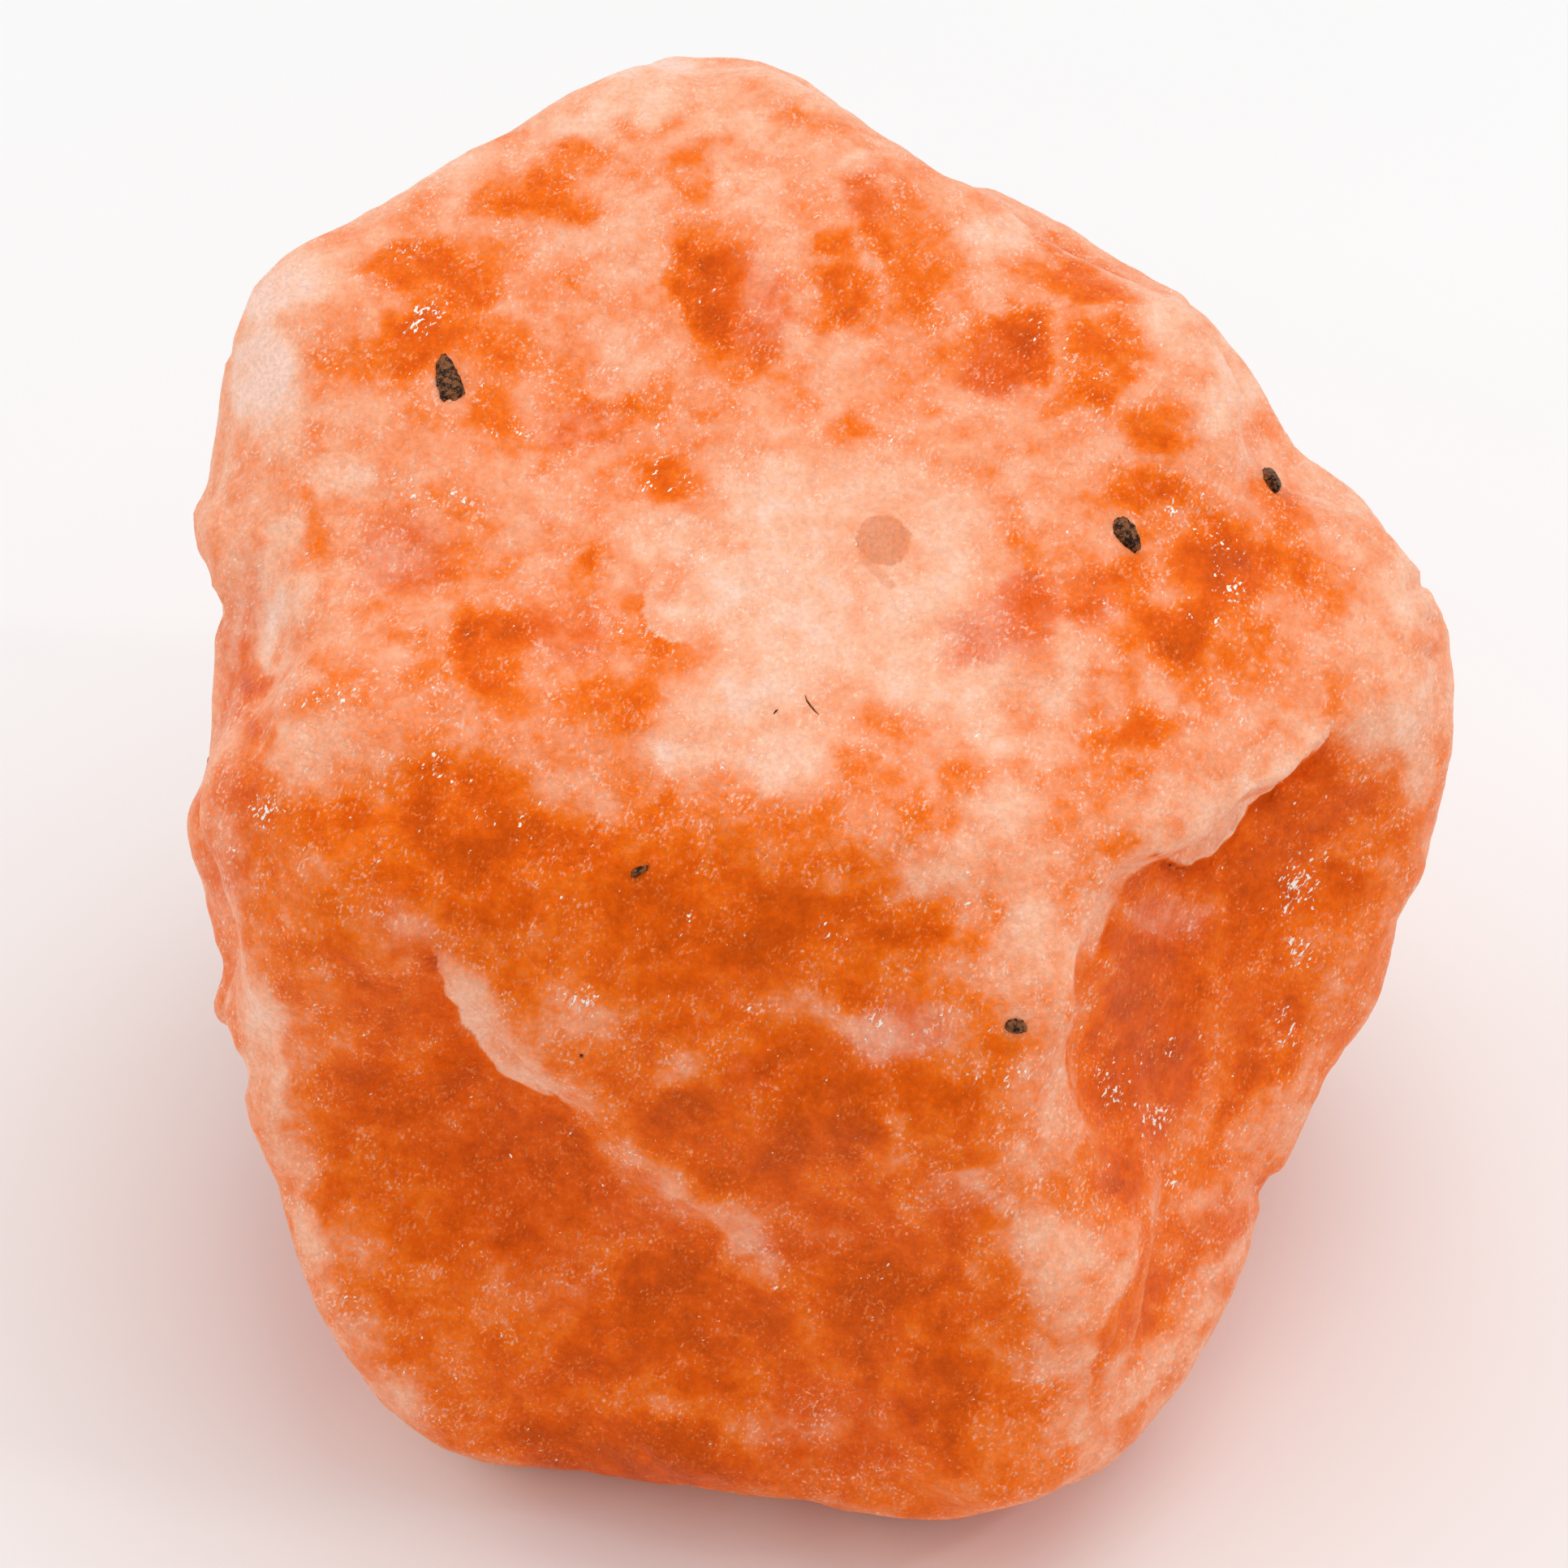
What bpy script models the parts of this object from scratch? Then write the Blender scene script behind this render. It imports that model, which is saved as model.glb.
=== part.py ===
"""A raw sunstone: one broken, slightly weathered lump of feldspar that lies on its flattest face.

X is right, Y is away from the front and Z is up. The stone is drawn in flat views of it. A view gives
places as right, up and near: across it, up it, and towards the eye that looks from there. The show view
looks down on the front of the stone from a middling height.
"""

import math

import bmesh
import bpy
import numpy as np
from mathutils import noise

MM = 0.001

# Each view's eye: azimuth from the front towards the right, and height above the horizon, in degrees.
VIEWS = {
    "show": (0, 38),
    "back": (180, 18),
    "left": (-90, 12),
    "right": (90, 12),
}
EYE_DISTANCE_MM = 240
# The eyes look straight at this point of their view.
AIM_MM = (-1.6, 0.2)

# The stone's outline in the show view, anticlockwise from its crown: right and up from its middle.
OUTLINE_MM = [
    (-6.15, 27.5), (-8.6, 26.5), (-9.5, 26.1), (-11.6, 24.8), (-15.6, 22.3), (-17.8, 21.2), (-20.1, 20.1),
    (-21.8, 18.2), (-22.5, 15.8), (-22.8, 13.2), (-23.2, 10.8), (-23.5, 9.5), (-22.7, 6.5), (-23.1, 2.0),
    (-23.6, -1.8), (-22.7, -5.7), (-22.8, -8.1), (-21.9, -9.9), (-21.5, -12.7), (-20.5, -14.5),
    (-19.2, -19.2), (-16.3, -23.3), (-14.3, -24.8), (-12.5, -25.4), (-9.0, -25.4), (-4.6, -26.1),
    (-0.5, -26.6), (2.4, -27.3), (4.8, -27.4), (8.5, -26.2), (10.8, -25.2), (12.8, -22.9), (15.4, -18.3),
    (16.3, -15.2), (18.7, -10.8), (21.0, -6.9), (21.5, -4.5), (23.2, 0.2), (23.5, 3.2), (23.2, 6.3),
    (21.0, 9.8), (19.6, 11.3), (17.6, 12.5), (16.1, 15.2), (14.6, 17.5), (11.3, 19.6), (7.9, 21.6),
    (4.1, 23.2), (2.1, 24.3), (0.0, 26.0), (-2.4, 27.2), (-4.2, 27.3),
]

# How far the stone bulges towards the eye and away from it, and how boxy that bulge is.
NEAR_BULGE_MM = 25
FAR_BULGE_MM = 29
BOXINESS = 2.5
# The outline isn't in one plane: its crown lies this far behind its middle, and its foot this far in front.
CROWN_SET_BACK_MM = 17
FOOT_FORWARD_MM = 1.5
# The stone's middle stands this high above the face that it lies on.
MIDDLE_HEIGHT_MM = 22.6

# Broken faces: where each one looks (azimuth from the front towards the right, elevation), and how far
# it is from the stone's middle.
FACES = {
    "top": (-10, 78, 14.6),
    "top_left": (-70, 50, 20.5),
    "top_right": (62, 50, 18.6),
    "brow": (-6, 34, 19.6),
    "front": (-16, -4, 19.6),
    "front_right": (48, 4, 18.6),
    "right": (88, 4, 23.0),
    "right_low": (62, -40, 23.0),
    "left": (-88, 0, 22.6),
    "left_low": (-62, -42, 26.0),
    "foot": (4, -48, 26.6),
    "back": (174, 10, 27.5),
    "back_left": (-135, 18, 25.5),
    "back_right": (132, -4, 24.5),
    "back_top": (158, 50, 26.0),
    "back_low": (-164, -34, 24.0),
    "under_front": (8, -62, 26.2),
    "under_back": (-172, -62, 26.0),
    "under_right": (92, -62, 24.6),
    "under_left": (-95, -64, 25.4),
}
EDGE_ROUNDING_MM = 2.8

# Lumps and hollows of each view: right, up, radius and lift. A hollow has a negative lift.
LUMPS_MM = {
    "show": [
        (-4.5, 25.0, 5.0, 0.9),
        (-20.5, 17.0, 5.0, 0.8),
        (-15.0, 19.5, 3.5, -0.5),
        (-19.8, 10.5, 3.5, 0.5),
        (-20.0, 4.5, 3.0, -0.6),
        (-21.0, -1.5, 4.0, 0.5),
        (-16.0, -14.0, 6.5, -1.4),
        (-11.0, -9.0, 4.0, 0.7),
        (-4.5, 3.5, 6.0, 0.5),
        (3.0, -1.0, 5.0, 0.6),
        (9.0, 3.0, 5.0, -0.5),
        (20.0, 6.5, 5.0, 0.8),
        (8.5, -8.0, 4.0, 0.7),
        (9.0, -16.5, 4.0, 0.9),
        (-2.5, -10.5, 6.0, -0.7),
        (-4.5, -20.5, 4.5, -0.5),
        (-11.5, -21.5, 5.0, 0.6),
        (4.5, -23.5, 4.5, 0.6),
        (5.5, 15.0, 5.0, -0.5),
        (-8.0, 12.0, 5.0, -0.4),
        (9.0, 11.0, 5.0, 0.4),
    ],
    "back": [
        (-8, 8, 8, -1.7),
        (9, 4, 7, -1.2),
        (3, -8, 6, 1.1),
        (-14, -6, 5, 0.9),
        (14, 12, 5, 0.8),
        (0, 17, 5, 0.6),
    ],
    "left": [
        (-6, 6, 7, -1.2),
        (8, -4, 6, -1.0),
        (-2, -10, 5, 0.9),
        (10, 9, 5, 0.7),
    ],
    "right": [
        (8, 5, 6, -1.1),
        (0, -9, 5, -0.8),
        (14, -6, 5, 0.8),
        (2, 12, 4, 0.6),
    ],
}

# Ledges of each view: a path, along which the surface drops on the right-hand side, then how deep it
# drops, over which width, and how far off the surface has come back. A ridge has a negative drop.
LEDGES_MM = {
    "show": [
        (
            [
                (9.8, -14.1), (10.1, -13.1), (9.9, -12.2), (9.5, -11.2), (9.3, -9.5), (9.6, -8.3), (9.5, -6.7),
                (9.9, -6.1), (10.4, -5.3), (10.7, -4.3), (11.2, -3.3), (11.8, -2.8), (13.7, -2.6), (14.4, -2.4),
                (15.3, -1.3), (15.7, -0.3), (16.6, 0.0), (17.7, 1.1), (18.3, 1.7), (20.0, 2.2),
            ],
            2.2, 1.6, 10.0,
        ),
        (
            [(9.2, -22.6), (9.8, -21.2), (10.5, -19.4), (11.1, -18.4), (11.6, -16.8), (12.8, -14.8), (14.6, -12.6)],
            1.1, 1.4, 5.0,
        ),
        (
            [(-14.6, -6.6), (-12.8, -9.4), (-11.0, -11.2), (-9.3, -11.9), (-8.4, -13.8), (-6.0, -15.6), (-1.5, -18.6)],
            1.3, 1.8, 6.0,
        ),
        (
            [(-20.4, -9.0), (-19.6, -4.0), (-19.9, 0.0), (-19.2, 3.4), (-19.4, 6.0), (-18.6, 9.0)],
            -0.8, 2.4, 3.0,
        ),
        (
            [(17.9, 9.6), (16.9, 10.9), (15.9, 11.9), (15.1, 13.6), (14.6, 15.6)],
            0.5, 1.4, 2.0,
        ),
    ],
    "back": [
        (
            [(-17, 13), (-11, 10), (-6, 11), (0, 7), (5, 6), (9, 1), (15, -1), (19, -6)],
            1.6, 1.6, 11.0,
        ),
        (
            [(-14, -4), (-9, -7), (-5, -6), (0, -10), (5, -12)],
            1.1, 1.4, 6.0,
        ),
    ],
    "left": [
        (
            [(-14, 2), (-8, 0), (-3, 2), (3, -3), (8, -4), (12, -9)],
            1.2, 1.4, 7.0,
        ),
    ],
    "right": [
        (
            [(18, 8), (13, 3), (14, -2), (9, -7), (10, -12)],
            1.1, 1.4, 6.0,
        ),
    ],
}

# A ledge fades out over this much of its path at both ends.
FADE_MM = 3
# Places beside a bend mix the parts of the path that are about this much nearer or farther than others.
BLEND_MM = 1.5
# The paths are lengthened straight by this much, so that each place near them has a side.
RUN_UP_MM = 40

# Small uneven swells all over: how far apart, and how high.
SWELLS_MM = [(7.5, 0.9), (3.4, 0.42)]

TRIANGLES = 9600


def main():
    for obj in list(bpy.data.objects):
        bpy.data.objects.remove(obj)
    stone = make_stone("raw_sunstone")
    stone.data.materials.append(stone_material())


def make_stone(name):
    """The stone as one closed mesh: a fine ball pushed to shape, then thinned out where it is smooth."""
    bm = bmesh.new()
    bmesh.ops.create_icosphere(bm, subdivisions=7, radius=1)
    points = shape(np.array([vert.co for vert in bm.verts]))
    for vert, point in zip(bm.verts, points * MM):
        vert.co = point
    mesh = bpy.data.meshes.new(name)
    bm.to_mesh(mesh)
    bm.free()
    obj = bpy.data.objects.new(name, mesh)
    bpy.context.scene.collection.objects.link(obj)
    thin = obj.modifiers.new("thin_out", "DECIMATE")
    thin.ratio = TRIANGLES / len(mesh.polygons)
    mesh.shade_smooth()
    return obj


def shape(ball):
    """Places on the stone, in millimetres, for points on a unit ball."""
    points = from_view(bulge(ball), "show")
    points = break_faces(points)
    points = add_lumps(points)
    points = add_ledges(points)
    points = add_swells(points)
    points = fit_outline(points)
    points = rest_on_face(points)
    low, high = points.min(axis=0), points.max(axis=0)
    middle = (low + high) / 2
    return points - (middle[0], middle[1], low[2])


def axes(view):
    """The unit vectors of a view's right, up and near."""
    azimuth, elevation = (math.radians(angle) for angle in VIEWS[view])
    right = np.array([math.cos(azimuth), math.sin(azimuth), 0])
    near = look(*VIEWS[view])
    return right, np.cross(near, right), near


def look(azimuth, elevation):
    """The unit vector that points there. Azimuth 0 is the front, and 90 is the right."""
    a, e = math.radians(azimuth), math.radians(elevation)
    return np.array([math.sin(a) * math.cos(e), -math.cos(a) * math.cos(e), math.sin(e)])


def from_view(seen, view):
    """The places seen at right and up, this near. What is nearer looks larger, so it is drawn in."""
    flat = AIM_MM + (seen[:, :2] - AIM_MM) * (1 - seen[:, 2:] / EYE_DISTANCE_MM)
    return np.column_stack([flat, seen[:, 2]]) @ np.array(axes(view))


def to_view(points, view):
    """Right, up and near of these places in a view."""
    seen = points @ np.array(axes(view)).T
    flat = AIM_MM + (seen[:, :2] - AIM_MM) / (1 - seen[:, 2:] / EYE_DISTANCE_MM)
    return np.column_stack([flat, seen[:, 2]])


def outline_radius(angles, softness):
    """How far the outline is from its middle at these angles, its corners softened over some degrees."""
    outline = np.array(OUTLINE_MM)
    steps = 720
    table_angles = np.linspace(-math.pi, math.pi, steps, endpoint=False)
    corner_angles = np.arctan2(outline[:, 1], outline[:, 0])
    radii = np.interp(table_angles, corner_angles, np.hypot(*outline.T), period=2 * math.pi)
    return np.interp(angles, table_angles, soften(radii, softness), period=2 * math.pi)


def soften(ring, degrees):
    """A ring of values, each mixed with its neighbours over about this angle."""
    steps = len(ring)
    offset = np.arange(steps) * 360 / steps
    offset = np.minimum(offset, 360 - offset)
    weights = np.exp(-((offset / degrees) ** 2))
    return np.fft.irfft(np.fft.rfft(ring) * np.fft.rfft(weights / weights.sum()), steps)


def bulge(ball):
    """Right, up and near for each point of the ball: the softened outline, blown up to both sides."""
    across = np.hypot(ball[:, 0], ball[:, 1])
    radius = outline_radius(np.arctan2(ball[:, 1], ball[:, 0]), 14)
    depth = np.where(ball[:, 2] > 0, NEAR_BULGE_MM, FAR_BULGE_MM)
    size = ((across / radius) ** BOXINESS + (np.abs(ball[:, 2]) / depth) ** BOXINESS) ** (-1 / BOXINESS)
    points = ball * size[:, None]
    share = points[:, 1] / max(up for right, up in OUTLINE_MM)
    points[:, 2] += np.where(share > 0, -CROWN_SET_BACK_MM, FOOT_FORWARD_MM) * share**2
    return points


def rays(points):
    """Unit vectors from the stone's middle to these places."""
    return points / np.linalg.norm(points, axis=1)[:, None]


def break_faces(points):
    """Cuts each broken face off the stone, and rounds the edge that it leaves."""
    reach = np.linalg.norm(points, axis=1)
    for azimuth, elevation, distance in FACES.values():
        facing = rays(points) @ look(azimuth, elevation)
        cut = distance / np.maximum(facing, 0.05)
        overlap = np.maximum(EDGE_ROUNDING_MM - np.abs(reach - cut), 0)
        reach = np.minimum(reach, cut) - overlap**2 / (4 * EDGE_ROUNDING_MM)
    return rays(points) * reach[:, None]


def in_sight(points, view):
    """1 where a place looks at the view's eye, 0 where it is on the far side, and between them a blend."""
    return ramp(rays(points) @ axes(view)[2], 0, 0.35)


def ramp(values, start, end):
    """0 below start, 1 above end, and an even slope between them."""
    t = np.clip((values - start) / (end - start), 0, 1)
    return t * t * (3 - 2 * t)


def add_lumps(points):
    """Raises the lumps and sinks the hollows."""
    lift = np.zeros(len(points))
    for view, lumps in LUMPS_MM.items():
        seen = to_view(points, view)
        for right, up, radius, height in lumps:
            away = np.hypot(seen[:, 0] - right, seen[:, 1] - up)
            lift += height * np.exp(-2 * (away / radius) ** 2) * in_sight(points, view)
    return points + rays(points) * lift[:, None]


def add_ledges(points):
    """Lets the surface down on the right-hand side of each ledge's path."""
    drop = np.zeros(len(points))
    for view, ledges in LEDGES_MM.items():
        seen = to_view(points, view)
        for path, depth, width, reach in ledges:
            side, on_path = beside(seen, path)
            fade = on_path * np.exp(-((np.maximum(side, 0) / reach) ** 2)) * in_sight(points, view)
            drop += depth * ramp(side, -width / 2, width / 2) * fade
    return points - rays(points) * drop[:, None]


def beside(seen, path):
    """How far each place is to the right-hand side of a path, and 1 along the path but 0 past its ends."""
    corners = np.array(path)
    steps = np.diff(corners, axis=0)
    lengths = np.linalg.norm(steps, axis=1)
    run_up = RUN_UP_MM * steps[[0, -1]] / lengths[[0, -1], None]
    corners = np.vstack([corners[0] - run_up[0], corners, corners[-1] + run_up[1]])
    nearest = np.full(len(seen), np.inf)
    side, on_path, shares = np.zeros((3, len(seen)))
    passed = -RUN_UP_MM
    for start, end in zip(corners, corners[1:]):
        length = np.linalg.norm(end - start)
        ahead = (end - start) / length
        offset = seen[:, :2] - start
        level = np.clip(offset @ ahead, 0, length)
        away = np.linalg.norm(offset - level[:, None] * ahead, axis=1)
        share = np.exp(-away / BLEND_MM)
        on_path += share * ramp(passed + level, 0, FADE_MM) * ramp(lengths.sum() - passed - level, 0, FADE_MM)
        shares += share
        right_hand = np.sign(offset @ (ahead[1], -ahead[0]))
        side = np.where(away < nearest, right_hand * away, side)
        nearest = np.minimum(nearest, away)
        passed += length
    return side, on_path / shares


def add_swells(points):
    """Small uneven swells over the whole surface."""
    lift = np.zeros(len(points))
    for spacing, height in SWELLS_MM:
        lift += [height * noise.noise(point / spacing) for point in points]
    return points + rays(points) * lift[:, None]


def fit_outline(points):
    """Draws the stone in or out across the show view until its rim lies on the outline."""
    seen = to_view(points, "show")
    angles = np.arctan2(seen[:, 1], seen[:, 0])
    radii = np.hypot(seen[:, 0], seen[:, 1])
    steps = 360
    sector = ((angles / math.pi + 1) / 2 * steps).astype(int) % steps
    rim = np.zeros(steps)
    np.maximum.at(rim, sector, radii)
    middles = (np.arange(steps) + 0.5) / steps * 2 * math.pi - math.pi
    stretch = soften(outline_radius(middles, 0.8) / rim, 1.2)
    factor = np.interp(angles, middles, stretch, period=2 * math.pi)
    near_rim = ramp(radii / np.interp(angles, middles, rim, period=2 * math.pi), 0.3, 1)
    seen[:, :2] *= (1 + (factor - 1) * near_rim)[:, None]
    return from_view(seen, "show")


def rest_on_face(points):
    """Flattens everything below the face that the stone lies on."""
    points[:, 2] = np.maximum(points[:, 2], -MIDDLE_HEIGHT_MM)
    return points


def stone_material():
    material = bpy.data.materials.new("sunstone")
    material.use_nodes = True
    surface = material.node_tree.nodes["Principled BSDF"]
    surface.inputs["Base Color"].default_value = (0.82, 0.22, 0.06, 1)
    surface.inputs["Roughness"].default_value = 0.4
    surface.inputs["Metallic"].default_value = 0
    return material


main()
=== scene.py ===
import math

import bmesh
import bpy
import numpy as np
from mathutils import Matrix, Vector, noise
from mathutils.bvhtree import BVHTree


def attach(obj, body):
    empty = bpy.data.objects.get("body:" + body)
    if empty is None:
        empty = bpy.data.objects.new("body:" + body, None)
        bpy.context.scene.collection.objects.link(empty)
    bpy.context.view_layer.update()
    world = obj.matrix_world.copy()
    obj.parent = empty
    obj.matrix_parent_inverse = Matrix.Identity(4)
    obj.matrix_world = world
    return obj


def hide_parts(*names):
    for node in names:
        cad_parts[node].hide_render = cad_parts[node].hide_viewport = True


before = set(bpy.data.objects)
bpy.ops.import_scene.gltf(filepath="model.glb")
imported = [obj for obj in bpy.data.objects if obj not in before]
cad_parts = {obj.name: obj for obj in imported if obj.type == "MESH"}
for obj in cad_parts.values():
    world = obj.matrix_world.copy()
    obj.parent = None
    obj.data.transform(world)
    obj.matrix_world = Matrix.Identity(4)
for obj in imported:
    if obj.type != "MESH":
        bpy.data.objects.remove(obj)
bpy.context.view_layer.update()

MM = 0.001

# The eye that looks at the stone, as in the part's source: places seen from it are in millimetres to the right
# of and above the middle of the stone's outline, and near is how far a place stands out towards the eye.
EYE_ELEVATION = 38
EYE_DISTANCE_MM = 240
AIM_MM = (-1.6, 0.2)
MIDDLE_MM = (-0.15, -3.389, 22.6)
FRAME_WIDTH_MM = 58.545

# The fine surface: spacing of its points, how often it's smoothed, and the small relief by spacing and height.
POINT_SPACING_MM = 0.365
SMOOTHING_ROUNDS = 4
RELIEF_MM = [(4.4, 0.16), (2.2, 0.12), (1.1, 0.065), (0.6, 0.03)]
# The face that the stone lies on stays flat: below this height, and between these shares of facing down.
FLAT_BELOW_MM = 0.5
FACING_DOWN = (0.6, 0.9)
# How noise moves the edges of the steps and the borders of the patches: its spacing, how far it moves them, and where
# in the noise the moves to the right and up come from.
RAGGED_MM = [(1.5, 0.28, 5, 15), (0.6, 0.12, 5, 15)]
WARPED_MM = [(2.2, 0.6, 31, 51), (0.9, 0.45, 41, 61)]

# How far the surface is turned to the eye, 1 for square on and 0 for edge-on: where the eye starts to see it and sees
# it fully, where the painted pale sheen along the rim starts and is full, and where bumps along the outline do.
IN_SIGHT = (-0.1, 0.25)
RIM_TURN = (0.5, 0.0)
BUMP_TURN = (-0.8, -0.4)

# Broken steps, as seen by the eye: the path of the upper edge, with how crisp the step is at each corner, then how
# much is taken from the part's soft drop and its width to make the step crisp, how high the small extra edge is and
# how far it fades out, and how strongly the colour changes there from pale above the edge to deep below it. The
# ground falls on the right-hand side.
STEPS_MM = [
    (
        [
            (10.0, -14.0, 0.0), (9.6, -12.0, 0.0), (9.0, -9.5, 0.05), (9.2, -7.0, 0.3), (10.3, -5.9, 0.5),
            (10.5, -4.8, 0.5), (10.7, -4.1, 0.5), (11.4, -3.2, 0.6), (12.4, -2.6, 0.8), (13.5, -2.7, 1.0),
            (14.6, -2.4, 1.0), (15.2, -1.8, 1.0), (15.6, -0.5, 1.0), (16.5, -0.1, 1.0), (17.6, 1.1, 1.0),
            (18.4, 1.8, 0.9),
        ],
        1.2, 1.6, 0.04, 1.2, 0.85,
    ),
    (
        [(9.6, -23.2, 0.4), (9.9, -21.7, 0.7), (10.4, -20.0, 0.8), (11.25, -18.2, 1.0), (11.65, -16.5, 0.8)],
        0.35, 1.4, 0.08, 1.0, 0.3,
    ),
    (
        [
            (-14.6, -6.6, 0.8), (-14.2, -7.5, 1.0), (-13.3, -9.1, 1.0), (-12.0, -10.8, 1.0), (-10.2, -11.4, 0.8),
            (-9.0, -12.6, 0.3), (-8.2, -14.0, 0.1), (-6.0, -15.6, 0.0),
        ],
        0.7, 1.8, 0.15, 1.0, 0.6,
    ),
    ([(-6.9, 6.9, 0.9), (-6.7, 6.1, 1.0), (-5.9, 5.5, 1.0), (-5.4, 5.4, 0.6)], 0, 1, 0.06, 0.5, 0.5),
    ([(-21.4, 5.4, 0.8), (-21.0, 3.9, 0.8), (-21.3, 2.5, 0.8)], 0, 1, -0.1, 1.0, 0.0),
]
# Over what distance a step's colour changes where it's crisp and where it's soft, and how far from the edge its
# colours below and above fade out.
CRISP_CHANGE_MM = 0.05
SOFT_CHANGE_MM = 0.4
BELOW_FADES_MM = 1.3
ABOVE_FADES_MM = 0.9
# A step's raised rim: how far before the edge it is, its half width, and its share of the small extra edge.
RAISED_RIM = (0.35, 0.4, 0.3)
# How far past its ends a step fades out.
STEP_END_MM = 1.5
# Bumps and, where the height is below zero, notches along the outline: right, up, half width, half height, turn in
# degrees, height.
RIM_MM = [
    (-23.5, 9.8, 0.9, 1.2, 0, 0.3), (-22.7, 6.7, 0.8, 0.7, 0, -0.3), (-23.6, -1.8, 0.8, 1.6, 0, 0.25),
    (-22.8, -6.6, 0.8, 0.7, 0, -0.25), (-22.9, -8.4, 0.8, 0.7, 0, 0.25), (-21.9, -10.6, 0.9, 0.7, 0, -0.25),
    (22.0, 7.6, 0.5, 0.3, 10, -0.3), (22.6, 6.3, 0.4, 0.25, 0, -0.25), (22.7, 5.1, 0.4, 0.25, 0, -0.25),
    (16.6, -14.9, 0.8, 0.5, 30, -0.3), (-20.9, 20.0, 0.7, 0.5, 30, -0.15), (-22.6, 16.4, 0.6, 0.4, 0, -0.15),
]
# Faces this near to a step, where it's at least this crisp, are split into smaller ones, this many cuts each way.
STEP_BAND_MM = 0.6
SPLIT_SHARE = 0.25
STEP_CUTS = 2
# Half the width of a crisp step's drop.
CRISP_MM = 0.13

# Patches fade out between these shares of their half width and half height.
PATCH_EDGE = (0.5, 1.35)
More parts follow.
